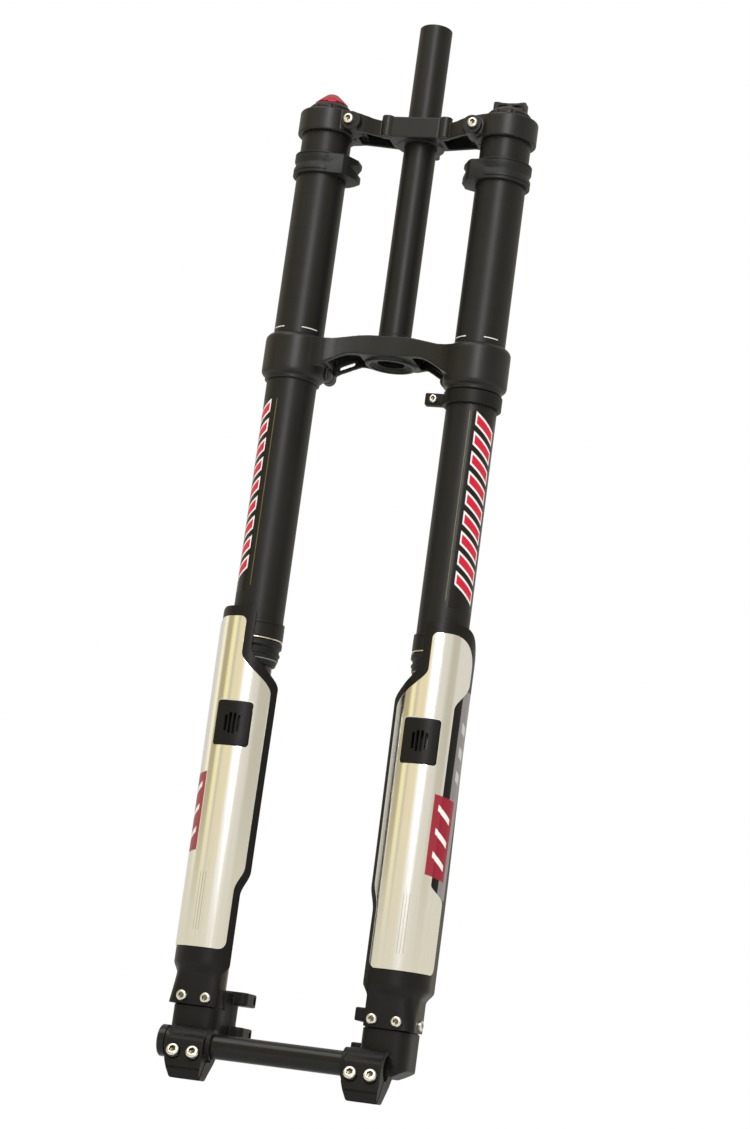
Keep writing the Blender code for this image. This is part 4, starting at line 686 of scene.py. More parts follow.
# %% Solids of the upper crown
STEERER_BORE, LEG_BORE = 14.45, 21.85
upper_low, upper_high = 182.0, 203.0
UPPER_BOLT = (55.6, -41.8, 191.6)
solids = []
for word, axis in legs.items():
    solids.append(lathe("upper_barrel_" + word, [(0, upper_high), (24.2, upper_high), (25.4, upper_high - 0.5),
                                                 (26.0, upper_high - 1.6), (26.0, upper_low + 0.8),
                                                 (25.2, upper_low), (0, upper_low)], axis, 96, ring=False))
half = [(21.0, -21.6), (29.0, -23.4), (36.0, -28.0), (43.0, -33.4), (49.0, -37.0), (66.8, -38.0), (66.8, 4.0),
        (49.6, 1.0), (21.0, 8.0)]
arms = prism("upper_arms", whole(half), "plan", upper_low + 2.0, upper_high + 5.0)
half = [(66.8, upper_low), (66.8, upper_high), (58.0, 201.6), (48.0, 199.6), (38.0, 198.4), (26.0, 198.0)]
slope = prism("upper_slope", whole(half), "front", -90, 90)
carve(arms, slope, "INTERSECT")
pocket = [(24.5, -17.2), (30.0, -19.4), (38.0, -25.0), (46.0, -31.0), (46.0, -1.4), (24.5, 3.8)]
for word, side in SIDES.items():
    carve(arms, prism("upper_pocket_" + word, mirrored(pocket, side), "plan", upper_low - 5, 194.5))
    shallow = [(45.0, -30.4), (52.5, -33.2), (52.5, -2.6), (45.0, -1.2)]
    carve(arms, prism("upper_shallow_" + word, mirrored(shallow, side), "plan", upper_low - 5, 188.4))
solids.append(arms)
block = [(-21.4, -26.3), (21.4, -26.3), (17.0, 0.0), (-17.0, 0.0)]
solids.append(prism("upper_block", block, "plan", upper_low + 1.2, upper_high - 1.2))
for side in SIDES.values():
    solids.append(rod("upper_pillar", (side * 26.0, -21.6, upper_low + 2.3), (side * 26.0, -21.6, upper_high), 5.5))
    solids.append(rod("upper_ear", (side * 54.2, -41.9, 191.2), (side * 54.2, -20.0, 191.2), 8.4))
solids.append(lathe("upper_steerer_boss", [(0, 203.2), (20.2, 203.2), (21.0, 202.4), (21.0, 182.4), (0, 182.4)],
                    steps=96, ring=False))
solids.append(prism("upper_rear_ear", [(-9.8, 0), (9.8, 0), (9.8, 31.0), (7.8, 33.0), (-7.8, 33.0), (-9.8, 31.0)],
                    "plan", 184.4, 197.6))
print(len(solids), "solids for the upper crown")

# %% Fuse, then bore, slit and drill the upper crown
upper_crown = fuse("upper_crown_casting", solids, 0.7, 4)
carve(upper_crown, rod("steerer_bore", (0, 0, 150), (0, 0, 240), STEERER_BORE, 96))
carve(upper_crown, prism("steerer_slit", [(-0.8, 5), (0.8, 5), (0.8, 60), (-0.8, 60)], "plan", 150, 240))
for word, side in SIDES.items():
    x, y = legs[word][:2]
    carve(upper_crown, rod("leg_bore", (x, y, 150), (x, y, 240), LEG_BORE, 128))
    slit = mirrored([(45.5, y - 0.8), (70.0, y - 0.8), (70.0, y + 0.8), (45.5, y + 0.8)], side)
    carve(upper_crown, prism("leg_slit", slit, "plan", 150, 240))
    bolt_x, bolt_y, bolt_z = side * UPPER_BOLT[0], UPPER_BOLT[1], UPPER_BOLT[2]
    carve(upper_crown, rod("bolt_recess", (bolt_x, -60, bolt_z), (bolt_x, bolt_y + 0.1, bolt_z), 5.3))
    carve(upper_crown, rod("bolt_hole", (bolt_x, -50, bolt_z), (bolt_x, -7.0, bolt_z), 2.7))
carve(upper_crown, rod("rear_bolt_hole", (-30, 27, UPPER_BOLT[2]), (10.5, 27, UPPER_BOLT[2]), 3.2))
carve(upper_crown, rod("rear_bolt_recess", (-30, 27, UPPER_BOLT[2]), (-9.9, 27, UPPER_BOLT[2]), 5.8))
dress(upper_crown, crown_black, "upper_crown")
print("upper crown:", len(upper_crown.data.polygons), "faces")

# %% [markdown]
# ## Lower crown
# The heavier forging: tall barrels with rounded shoulders, an arched front wall that runs from barrel to
# barrel, pockets underneath with a windowed wall behind them, a spot-faced rim round the crown race's seat
# and a ring round the steerer's mouth.

# %% Solids of the lower crown
lower_top, lower_foot = -2.0, -43.0
solids = []
for word, axis in legs.items():
    shoulder = [(27.5 - 5.6 * (1 - math.cos(t)), lower_top - 5.6 * (1 - math.sin(t)))
                for t in [math.pi / 2 * (1 - i / 8) for i in range(9)]]
    belly = [(27.5, -35.0), (27.2, -36.6), (26.2, -38.0), (24.8, -38.9), (23.9, -39.2), (23.9, lower_foot + 0.5),
             (23.4, lower_foot), (0, lower_foot)]
    solids.append(lathe("lower_barrel_" + word, [(0, lower_top)] + shoulder + belly, axis, 128, ring=False))
front_plan = [(14.0, -26.9), (20.0, -27.1), (26.0, -27.4), (32.0, -27.8), (38.0, -28.4), (44.0, -29.2), (48.0, -30.1),
              (52.0, -31.5), (56.0, -33.7), (59.0, -35.8), (61.3, -37.7), (66.8, -41.0), (66.8, -9.0), (14.0, -9.0)]
front_under = [(21.0, -15.1), (27.0, -14.4), (34.0, -15.4), (40.0, -18.0), (45.0, -20.9), (52.0, -25.3), (59.0, -29.7),
               (66.8, -34.0)]
rear_plan = [(14.0, -9.6), (66.8, -9.6), (66.8, 6.2), (45.6, 6.2), (18.4, 23.0)]
rear_under = [(21.0, -15.0), (27.0, -14.8), (30.0, -15.4), (36.0, -19.2), (42.0, -23.4), (49.5, -28.2), (58.0, -33.0),
              (66.8, -36.0)]
pocket = [(23.5, -19.4), (34.0, -21.6), (45.0, -23.9), (50.0, -25.0), (50.0, 0.6), (45.0, 2.7), (23.5, 16.0)]
for name, plan, under in (("front", front_plan, front_under), ("rear", rear_plan, rear_under)):
    arms = prism("lower_arms_" + name, whole(plan), "plan", -60, 20)
    face = under + [(66.8, -4.8), (46.0, -2.6), (34.0, -0.2), (24.0, 1.7), (14.0, 2.4)]
    carve(arms, prism("lower_arch", whole(face), "front", -90, 90), "INTERSECT")
    for word, side in SIDES.items():
        carve(arms, prism("lower_pocket_" + word, mirrored(pocket, side), "plan", -60, -6.0))
        if name == "rear":
            tall = 2.4 - 0.9 * side
            window = [(35.0, -15.2 + tall), (35.0, -15.2), (46.4, -22.9), (46.4, -22.9 + tall)]
            carve(arms, prism("lower_window_" + word, mirrored(window, side), "front", 0, 60))
    solids.append(arms)
boss = [(0, -0.3), (22.2, -0.3), (22.8, -0.9), (22.8, -16.6), (21.6, -17.8), (0, -17.8)]
solids.append(lathe("lower_steerer_boss", boss, steps=96, ring=False))
LOWER_BOLT_X, LOWER_BOLT_SEAT, LOWER_BOLT_LEVELS = 54.8, 2.6, (-12.25, -30.6)
for side in SIDES.values():
    for level in LOWER_BOLT_LEVELS:
        across = side * LOWER_BOLT_X
        solids.append(rod("lower_bolt_boss", (across, -14, level), (across, 6.2, level), 6.2))
print(len(solids), "solids for the lower crown")

# %% Fuse, then bore, slit and drill the lower crown
lower_crown = fuse("lower_crown_casting", solids, 0.75, 9)
carve(lower_crown, rod("steerer_bore", (0, 0, -80), (0, 0, 40), STEERER_BORE, 96))
carve(lower_crown, rod("seat_recess", (0, 0, -2.3), (0, 0, 40), 15.2, 96))
carve(lower_crown, rod("race_spot_face", (0, 0, -0.1), (0, 0, 40), 23.2, 96))
mouth = [(0, -15.0), (17.0, -15.0), (17.6, -15.8), (18.6, -17.0), (20.0, -80), (0, -80)]
carve(lower_crown, lathe("steerer_mouth", mouth, steps=96, ring=False))
for word, side in SIDES.items():
    x, y = legs[word][:2]
    carve(lower_crown, rod("leg_bore", (x, y, -90), (x, y, 50), LEG_BORE, 128))
    cut_y = y + 13.2
    slit = mirrored([(40.0, cut_y), (74.0, cut_y), (74.0, cut_y + 1.6), (40.0, cut_y + 1.6)], side)
    carve(lower_crown, prism("leg_slit", slit, "plan", -90, 50))
    for level in LOWER_BOLT_LEVELS:
        across = side * LOWER_BOLT_X
        carve(lower_crown, rod("bolt_hole", (across, 40, level), (across, -14.0, level), 3.2))
        carve(lower_crown, rod("bolt_recess", (across, 40, level), (across, LOWER_BOLT_SEAT, level), 5.45))
dress(lower_crown, crown_black, "lower_crown")
print("lower crown:", len(lower_crown.data.polygons), "faces")

# %% [markdown]
# ## Bumpers, caps and adjusters
# A rubber bumper with two ribs hugs each tube and has a notched pad on the inner side. On top of the legs
# sit conical caps, with a red rebound knob on the left and a black lever on the right.

# %% Rubber bumpers
for word, side in SIDES.items():
    x, y = legs[word][:2]
    low, high = 143.0, 163.0
    middle = (low + high) / 2
    upper_rib = [(20.0, high - 0.6), (20.6, high), (24.4, high), (25.1, high - 0.6), (25.1, high - 1.9),
                 (24.5, high - 2.3), (24.5, high - 2.9), (25.1, high - 3.3), (25.1, high - 6.4), (23.6, middle + 0.5)]
    lower_rib = [(a, 2 * middle - b) for a, b in reversed(upper_rib)]
    bumper = lathe("bumper_" + word, upper_rib + lower_rib, legs[word], 96)
    wing = [(x - side * a, y + b) for a, b in [(-4.0, -23.0), (2.0, -23.8), (24.0, -20.4), (27.0, -16.6), (33.2, -5.0),
                                               (33.2, 8.0), (27.0, 13.4), (21.7, 16.7), (0, 21.4)]]
    pad = prism("pad_" + word, wing, "plan", low + 0.3, high - 2.0)
    carve(pad, prism("groove_" + word, [(x - side * 70, middle + 1.4), (x - side * 70, middle + 0.2),
                                        (x + side * 30, middle + 0.2), (x + side * 30, middle + 1.4)], "front",
                     y - 60, y - 22.3))
    notch = [(x - side * 34.0, middle + 4.4), (x - side * 28.6, middle), (x - side * 34.0, middle - 4.4)]
    carve(pad, prism("notch_" + word, notch, "front", -80, 60))
    soften(pad, 0.6, 2)
    carve(pad, rod("hollow_" + word, (x, y, 120), (x, y, 180), 22.2, 96))
    carve(bumper, pad, "UNION")
    carve(bumper, rod("bore_" + word, (x, y, 120), (x, y, 180), LEG_BORE, 128))
    dress(bumper, rubber, "frame_bumper_" + word)
print("bumpers made")

# %% Top caps with spanner notches
CAP_TOP, CAP_FOOT = 211.8, 203.9
for word, axis in legs.items():
    profile = [(4.3, CAP_TOP), (14.6, CAP_TOP), (15.3, CAP_TOP - 0.4), (18.8, CAP_TOP - 3.9), (19.1, CAP_TOP - 4.6),
               (19.1, CAP_FOOT), (4.3, CAP_FOOT)]
    cap = lathe("cap_" + word, profile, axis, 96)
    for i in range(8):
        turn = math.radians(22.5 + 45 * i)
        at = (axis[0] + 20.4 * math.cos(turn), axis[1] + 20.4 * math.sin(turn))
        carve(cap, rod("spanner_notch", (*at, 200.0), (*at, 220.0), 2.4, 24))
    soften(cap, 0.25)
    dress(cap, plain_black, "top_cap_" + word)
print("caps made")

# %% Rebound knob, cut like a gem
KNOB_FOOT = CAP_TOP + 0.3
axis = legs["left"]
dome = [(0, 10.2), (4.6, 10.0), (5.7, 9.4), (10.6, 5.2), (13.9, 2.0), (14.8, 1.0), (14.8, 0.0)]
stem = [(4.0, KNOB_FOOT), (4.0, 202.9), (0, 202.9)]
knob = lathe("red_knob", [(a, KNOB_FOOT + b) for a, b in dome] + stem, axis, 12, ring=False)
soften(knob, 0.3, 2, 12)
dress(knob, red_anodised, "rebound_knob", 18)
print("knob made")

# %% Lockout lever
axis = legs["right"]
reach, foot = 14.5, KNOB_FOOT
half = [(reach - 2.6, 0.0), (reach - 3.2, 2.6), (reach - 5.6, 4.6), (0.0, 4.8)]
outline = [(reach, 0.0), (reach, 7.0), (reach - 1.0, 8.0), (reach - 3.4, 8.0), (7.0, 7.2), (0.0, 6.9)]
outline += [(-a, b) for a, b in reversed(outline[:-1])] + [(-a, b) for a, b in half[:-1]] + half[::-1]
lever = prism("black_lever", [(axis[0] + a, foot + b) for a, b in outline], "front", axis[1] - 4.5, axis[1] + 4.5)
soften(lever, 0.6, 3)
carve(lever, lathe("lever_stem", [(0, foot + 6.4), (5.0, foot + 6.4), (5.4, foot + 5.6), (5.4, foot + 0.2), (4.0, foot),
                                  (4.0, 202.9), (0, 202.9)], axis, 64, ring=False), "UNION")
dress(lever, lever_black, "lockout_lever")
print("lever made")

# %% [markdown]
# ## Seals at the foot of the outer tubes
# Below each tube sit a seal head, a gold wire ring and a stepped dust wiper. They are all round, so they
# are turned.

# %% Seal heads, wire rings and wipers
for word, axis in legs.items():
    head = lathe("seal_head_" + word + "_turned",
                 [(17.8, -236.2), (19.4, -236.2), (19.4, -254.3), (23.2, -254.3), (23.4, -254.6), (23.4, -256.0),
                  (22.9, -256.4), (22.9, -257.0), (23.4, -257.4), (23.4, -267.5), (22.9, -268.0), (21.7, -268.0),
                  (21.7, -270.4), (17.8, -270.4)], axis)
    dress(head, plain_black, "seal_head_" + word)
    wire = [(22.75 + 0.72 * math.cos(t), -269.2 + 0.72 * math.sin(t)) for t in
            [2 * math.pi * i / 12 for i in range(12)]]
    dress(lathe("wire_" + word, wire, axis), gold_wire, "wiper_ring_" + word)
    wiper = lathe("wiper_" + word, [(17.8, -270.7), (22.9, -270.7), (23.4, -271.2), (23.4, -274.9), (23.0, -275.4),
                                    (21.9, -276.2), (21.7, -277.0), (21.7, -279.4), (22.6, -280.0), (22.6, -281.6),
                                    (21.7, -282.2), (21.7, -285.4), (21.3, -286.2), (20.4, -288.6), (20.0, -290.2),
                                    (19.4, -290.7), (18.2, -290.7), (17.8, -289.6)], axis)
    dress(wiper, wiper_rubber, "dust_wiper_" + word)
print("seals made")

# %% [markdown]
# ## Stanchions
# The inner tubes run down behind the guards into the feet. They are ground and anodised, so they are
# smoother than the outer tubes.

# %% Turn the stanchions
ground = Finish("ground_black", Metallic=0.6, Specular_IOR_Level=0.5)
sheen = ground.noise(900.0, 2.0, (0.02, 0.02, 8.0))
ground.feed("Base Color", ground.mix(ground.noise(20.0), colour(0.030, 0.027, 0.023), colour(0.045, 0.041, 0.034)))
ground.feed("Roughness", 0.16 + 0.08 * sheen)
ground.bump(sheen, 0.02)
for word, axis in legs.items():
    low, high = (corner[2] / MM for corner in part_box("stanchion_" + word))
    profile = [(15.5, low), (17.5, low), (17.5, high - 25), (16.9, high - 25), (16.9, high - 4), (17.5, high - 4),
               (17.5, high), (15.5, high)]
    tube = lathe("inner_tube_" + word, profile, axis)
    dress(tube, ground, "stanchion_" + word)
print("stanchions made")

# %% [markdown]
# ## Hose guide
# A split ring under the lower crown on the right leg, with a tab and a small screw.

# %% Make the hose guide
x, y = legs["right"][:2]
guide = lathe("hose_ring", [(21.85, -43.8), (24.4, -43.8), (25.0, -44.4), (25.0, -55.2), (24.4, -55.8), (21.85, -55.8)],
              (x, y, 0), 128)
tab = prism("hose_tab", [(39.8, -54.9), (62.0, -54.9), (62.0, -44.2), (39.8, -44.2)], "front", y - 4, y + 4)
soften(tab, 1.3, 3)
carve(tab, rod("ring_room", (x, y, -80), (x, y, -20), 23.0, 96))
carve(guide, tab, "UNION")
carve(guide, rod("screw_hole", (47.8, y - 30, -49.55), (47.8, y + 3.6, -49.55), 2.2, 32))
dress(guide, cast_black, "hose_guide_clamp")
print("hose guide made")

# %% [markdown]
# ## Feet
# Each foot is one casting: a rounded square socket for the stanchion, an axle block in front of it, a seat
# for the wheel's hub and two brake lugs on the inner side. It is fused like the crowns and bored last.

# %% Solids of a foot
CASTING_HALF = (20.7, 21.8)
CASTING_POWER, REAR_POWER = 3.6, 8.0
CASTING_EDGE = 8.0
BLOCK_X = (58.5, 90.0)
axle_y, axle_z = AXLE_Y / MM, AXLE_Z / MM


def rounded_square(half_x, half_y, steps):
    """Outline between an ellipse and a rectangle, squarer at the rear."""
    points = []
    for i in range(steps):
        t = 2 * math.pi * i / steps
        c, s = math.cos(t), math.sin(t)
        power = REAR_POWER if s > 0 else CASTING_POWER
        reach = ((abs(c) / half_x) ** power + (abs(s) / half_y) ** power) ** (-1 / power)
        points.append((reach * c, reach * s))
    return points


def socket_solid(x, y):
    """The socket, extruded down from its rim, and drawn in step by step to round its foot."""
    outline = [(x + a, y + b) for a, b in rounded_square(*CASTING_HALF, 96)]
    casting = prism("casting", outline, "plan", axle_z + 31.0, axle_z - 7.0 + CASTING_EDGE)
    edit_all(casting)
    bpy.ops.mesh.select_all(action="DESELECT")
    bpy.ops.object.mode_set(mode="OBJECT")
    lowest = min(vertex.co.z for vertex in casting.data.vertices)
    for face in casting.data.polygons:
        face.select = all(casting.data.vertices[i].co.z < lowest + 0.1 * MM for i in face.vertices)
    bpy.ops.object.mode_set(mode="EDIT")
    bpy.ops.mesh.select_mode(type="FACE")
    inset = 0.0
    for i in range(1, 7):
        turn = math.pi / 2 * i / 6
        drop = CASTING_EDGE * (math.sin(turn) - math.sin(math.pi / 2 * (i - 1) / 6))
        bpy.ops.mesh.extrude_region_move(TRANSFORM_OT_translate={"value": (0, 0, -drop * MM)})
        next_inset = CASTING_EDGE * (1 - math.cos(turn))
        shrink = [(half - next_inset) / (half - inset) for half in CASTING_HALF]
        bpy.ops.transform.resize(value=(*shrink, 1.0), center_override=(x * MM, y * MM, 0.0))
        inset = next_inset
    close_edit()
    return casting


def foot_solids(word, side):
    x, y = legs[word][:2]
    neck = [(x + a, y + b) for a, b in rounded_square(CASTING_HALF[0] - 1.2, CASTING_HALF[1] - 1.2, 64)]
    outline = arc((0, 0), 14.0, 40, 150, 14)
    outline += [(-16.6, 4.6), (-18.1, 3.2), (-18.5, 1.4), (-18.5, -20.6), (-13.4, -28.6), (3.0, -28.6), (23.6, -7.0),
                (23.6, 9.0)]
    outline = [(axle_y + a, axle_z + b) for a, b in outline]
    block = prism("axle_block", outline, "side", *span(side, *BLOCK_X))
    for edge, way, cut in ((BLOCK_X[0], 1, 3.2 + 1.8 * side), (BLOCK_X[1], -1, 3.2 - 1.8 * side)):
        corner = [(edge - way * 5, -10.0), (edge, -14.0), (edge + way * cut, -30.0), (edge - way * 5, -30.0)]
        corner = [(side * a, axle_z + b) for a, b in corner]
        carve(block, prism("block_corner", corner, "front", axle_y - 60, axle_y + 60))
    soften(block, 0.9, 2, 30)
    socket = socket_solid(x, y)
    below = [(x + side * a, axle_z + b) for a, b in ((5, -8.4), (24, 2.4), (24, -30), (5, -30))]
    carve(socket, prism("socket_slope", below, "front", y - 40, y + 40))
    solids = [socket, prism("neck", neck, "plan", axle_z, axle_z + 47.0), block,
              rod("hub_seat", (side * 55.0, axle_y, axle_z), (side * 66.0, axle_y, axle_z), 13.5)]
    plan = [(0, 7.0), (30.6, 7.0), (33.4, 8.2), (34.7, 11.0), (34.7, 34.0), (33.6, 37.0), (31.0, 38.0), (17.5, 38.0),
            (0, 17.5)]
    web = [(12.0, -4.0), (20.6, -4.0), (21.2, 0.0), (22.3, 4.5), (23.8, 9.0), (24.8, 14.0), (24.8, 19.0), (12.0, 19.0)]
    web = [(x - side * a, y + b) for a, b in web]
    solids.append(prism("lug_web", web, "plan", axle_z + 10.0, axle_z + 46.0))
    for height in LUG_LEVELS:
        low, high = axle_z + height - LUG_HALF, axle_z + height + LUG_HALF
        lug = prism("brake_lug", [(x - side * a, y + b) for a, b in plan], "plan", low, high)
        solids.append(soften(lug, 1.2, 3, 50))
    return solids


# %% Fuse, bore and drill the feet
GUARD_SEATS = {"inner": (-10.2, -24.3), "outer": (10.2, -24.3), "side": (21.4, 0.0)}
GUARD_SEAT_LEVEL = 38.0
LUG_LEVELS, LUG_HALF = (13.5, 42.0), 5.5


def guard_seat(side, place):
    """Where a guard bolt's head rests, and which way the bolt points."""
    x, y = side * LEG_X / MM, LEG_Y / MM
    across, rear = GUARD_SEATS[place]
    way = Vector((-side, 0, 0)) if place == "side" else Vector((0, 1, 0))
    return Vector((x + side * across, y + rear, axle_z + GUARD_SEAT_LEVEL)), way


TILT = math.radians(24.0)
PINCH_WAY = Vector((0, math.cos(TILT), -math.sin(TILT)))
PINCH_X = (65.95, 82.55)
PINCH_SEAT = (axle_y - 18.5 + 5.25 * math.tan(TILT) + 0.3, axle_z - 9.0)
for word, side in SIDES.items():
    x, y = legs[word][:2]
    foot = fuse("foot_" + word, foot_solids(word, side), 0.7, 4)
    carve(foot, rod("socket", (x, y, axle_z + 15), (x, y, axle_z + 90), 17.7, 96))
    carve(foot, rod("foot_hole", (x, y, axle_z - 30), (x, y, axle_z + 30), 4.3, 32))
    carve(foot, rod("foot_recess", (x, y, axle_z - 30), (x, y, axle_z + 0.2), 7.3, 48))
    carve(foot, rod("axle_bore", (side * 20, axle_y, axle_z), (side * 120, axle_y, axle_z), 10.2, 96))
    carve(foot, rod("spot_face", (side * 90, axle_y, axle_z), (side * 130, axle_y, axle_z), 13.3, 96))
    along = Vector((0, -math.sin(TILT), -math.cos(TILT)))
    corners = [along * a + PINCH_WAY * b for a, b in ((0, -1), (45, -1), (45, 1), (0, 1))]
    slit = [(axle_y + corner.y, axle_z + corner.z) for corner in corners]
    carve(foot, prism("pinch_slit", slit, "side", *span(side, 50, 100)))
    step = [(-30, -19.4), (-16.9, -19.4), (-16.9, -21.2), (-30, -21.2)]
    step = [(axle_y + a, axle_z + b) for a, b in step]
    carve(foot, prism("block_step", step, "side", *span(side, 50, 100)))
    for across in PINCH_X:
        seat = Vector((side * across, *PINCH_SEAT))
        carve(foot, rod("pinch_recess", seat - PINCH_WAY * 20, seat, 5.7, 48))
        carve(foot, rod("pinch_hole", seat - PINCH_WAY * 5, seat + PINCH_WAY * 28.6, 3.2, 32))
    for height in LUG_LEVELS:
        start = Vector((x - side * 60, y + 30.0, axle_z + height))
        carve(foot, rod("brake_hole", start, start + Vector((side * 39.3, 0, 0)), 3.2, 32))
    for place in GUARD_SEATS:
        seat, way = guard_seat(side, place)
        carve(foot, rod("guard_thread", seat - way * 5, seat + way * 7.2, 2.7, 32))
    dress(foot, cast_black, "dropout_" + word)
print("feet made")

# %% [markdown]
# ## Through axle
# A hollow 20 mm axle whose flange stands out on the left, with a neck behind it.

# %% Turn the axle
low, high = axle_low[0] / MM, axle_high[0] / MM
profile = [(7.0, high), (9.4, high), (10.0, high - 0.6), (10.0, -90.4), (11.7, -90.4), (11.9, -90.7), (11.9, -93.6),
           (12.6, -93.9), (13.0, -94.4), (13.0, low + 0.9), (12.2, low), (7.8, low), (7.0, low + 0.8)]
axle = lathe("axle", profile, (0, axle_y, axle_z), 96, "X")
dress(axle, gloss_black, "through_axle")
print("axle made")

# %% [markdown]
# ## Leg guards
# The shell goes from the rounded square of the foot to a round wrap of the leg, with a flat flange on the
# inner side that steps back at the top. One formula gives its radius over height and angle, and others give
# its edges. A grid is laid on that formula, with rows that follow the round corners. Solidify gives it its
# wall, and Bevel breaks the edge.

# %% The guard's formula, heights above the axle in millimetres
SEAL_R, GUARD_WALL, FIT = 23.4, 2.2, 0.3
GUARD_FOOT, GUARD_NECK, GUARD_COLLAR, GUARD_TOP = 31.7, 56.0, 66.0, 364.5
WAIST, SHOULDER = (124.0, 145.0), (298.0, 330.0)
GUARD_INNER = {"foot": math.radians(41), "low": math.radians(56), "wide": math.radians(69), "top": math.radians(14)}
GUARD_OUTER, GUARD_OUTER_LOW = math.radians(100), math.radians(118)
FLAT_INNER, FLAT_OUTER = math.radians(45), math.radians(90)


def turn_blend(angle, start, end):
    return blend(math.degrees(angle), start, end)


def guard_radius(height, angle):
    """Outer radius of the guard, at an angle from the front towards the inner side."""
    gap = 2.8 + 1.2 * blend(height, WAIST[0], GUARD_TOP)
    wrap = (SEAL_R + gap + GUARD_WALL) / math.cos(max(0.0, angle - FLAT_INNER, -angle - FLAT_OUTER))
    half_x, half_y = (half + FIT + GUARD_WALL for half in CASTING_HALF)
    c, s = abs(math.cos(angle)), abs(math.sin(angle))
    power = REAR_POWER if math.cos(angle) < 0 else CASTING_POWER
    skirt = ((c / half_y) ** power + (s / half_x) ** power) ** (-1 / power)
    lean = -1.2 + 3.8 * (GUARD_NECK - height) / (GUARD_NECK - GUARD_FOOT)
    skirt += lean * turn_blend(-angle, 25, 55) * (1 - turn_blend(-angle, 50, 72))
    return skirt + (wrap - skirt) * blend(height, GUARD_NECK, GUARD_COLLAR)


def corner_inset(distance, corner):
    """How far an edge draws in at a distance from the end, where the corner is round."""
    return corner - math.sqrt(corner ** 2 - max(0.0, corner - max(0.0, distance)) ** 2)


def inner_edge(height):
    turn = GUARD_INNER["foot"] + (GUARD_INNER["low"] - GUARD_INNER["foot"]) * blend(height, GUARD_NECK, GUARD_COLLAR)
    turn += (GUARD_INNER["wide"] - GUARD_INNER["low"]) * blend(height, *WAIST)
    return turn + (GUARD_INNER["top"] - GUARD_INNER["wide"]) * blend(height, *SHOULDER)


def guard_edges(height):
    radius = guard_radius(height, 0)
    outer = GUARD_OUTER_LOW + (GUARD_OUTER - GUARD_OUTER_LOW) * blend(height, WAIST[0], SHOULDER[0])
    top, low = GUARD_TOP - height, height - GUARD_FOOT
    inner_inset = corner_inset(top, 5.0) + corner_inset(low, 1.5)
    outer_inset = corner_inset(top, 29.0) + corner_inset(low, 1.5)
    return inner_edge(height) - inner_inset / radius, outer - outer_inset / radius


print("guard from", GUARD_FOOT, "to", GUARD_TOP, "mm above the axle")

# %% The plate's edges, and a sheet laid on the formula
PLATE_FOOT, PLATE_TOP, PLATE_LIFT = 78.5, 355.5, 0.9


def plate_edges(height, side):
    """The plate keeps a border to the shell. On the right guard it leaves room for the band on the outer side."""
    radius = guard_radius(height, 0)
    inner = min(inner_edge(height - 3.0), inner_edge(height + 5.0))
    border = 7.2 * math.cos(max(0.0, inner - FLAT_INNER)) / guard_radius(height, inner)
    outer = math.radians(88 - (38 * blend(height, 136, 150) - 31 * blend(height, 294, 318) if side > 0 else 0))
    top, low = PLATE_TOP - height, height - PLATE_FOOT
    inner_inset = corner_inset(top, 5.0) + corner_inset(low, 7.0)
    outer_inset = corner_inset(top, 26.0) + corner_inset(low, 7.0)
    return inner - border - inner_inset / radius, outer - outer_inset / radius


def sheet_levels(low, high, corner_low, corner_top, spacing):
    """Heights of a sheet's rows: even turns in the round corners, even steps between them."""
    turns = [math.pi / 2 * i / 14 for i in range(15)]
    foot = [low + corner_low * (1 - math.cos(turn)) for turn in turns]
    head = [high - corner_top * (1 - math.cos(turn)) for turn in reversed(turns)]
    count = round((head[0] - foot[-1]) / spacing)
    return foot + [foot[-1] + (head[0] - foot[-1]) * i / count for i in range(1, count)] + head


def sheet(name, side, levels, edges, offset, wall, columns):
    """Lay a grid on the guard's formula at an offset, and give it a wall on its inner side."""
    clear_selection()
    bpy.ops.mesh.primitive_grid_add(x_subdivisions=columns, y_subdivisions=len(levels) - 1, size=2 * MM)
    piece = added(name)
    x, y = legs["right" if side > 0 else "left"][:2]
    for vertex in piece.data.vertices:
        across = vertex.co.x / MM / 2 + 0.5
        height = levels[round((vertex.co.y / MM / 2 + 0.5) * (len(levels) - 1))]
        inner, outer = edges(height)
        angle = inner - (inner + outer) * across
        reach = guard_radius(height, angle) + offset
        vertex.co = Vector((x - side * reach * math.sin(angle), y - reach * math.cos(angle), axle_z + height)) * MM
    edit_all(piece)
    bpy.ops.mesh.normals_make_consistent(inside=False)
    bpy.ops.object.mode_set(mode="OBJECT")
    face = piece.data.polygons[len(piece.data.polygons) // 2]
    if face.normal.dot(face.center - Vector((x, y, face.center.z / MM)) * MM) < 0:
        piece.data.flip_normals()
    return modify(piece, "SOLIDIFY", thickness=wall * MM, offset=-1.0, use_quality_normals=True)


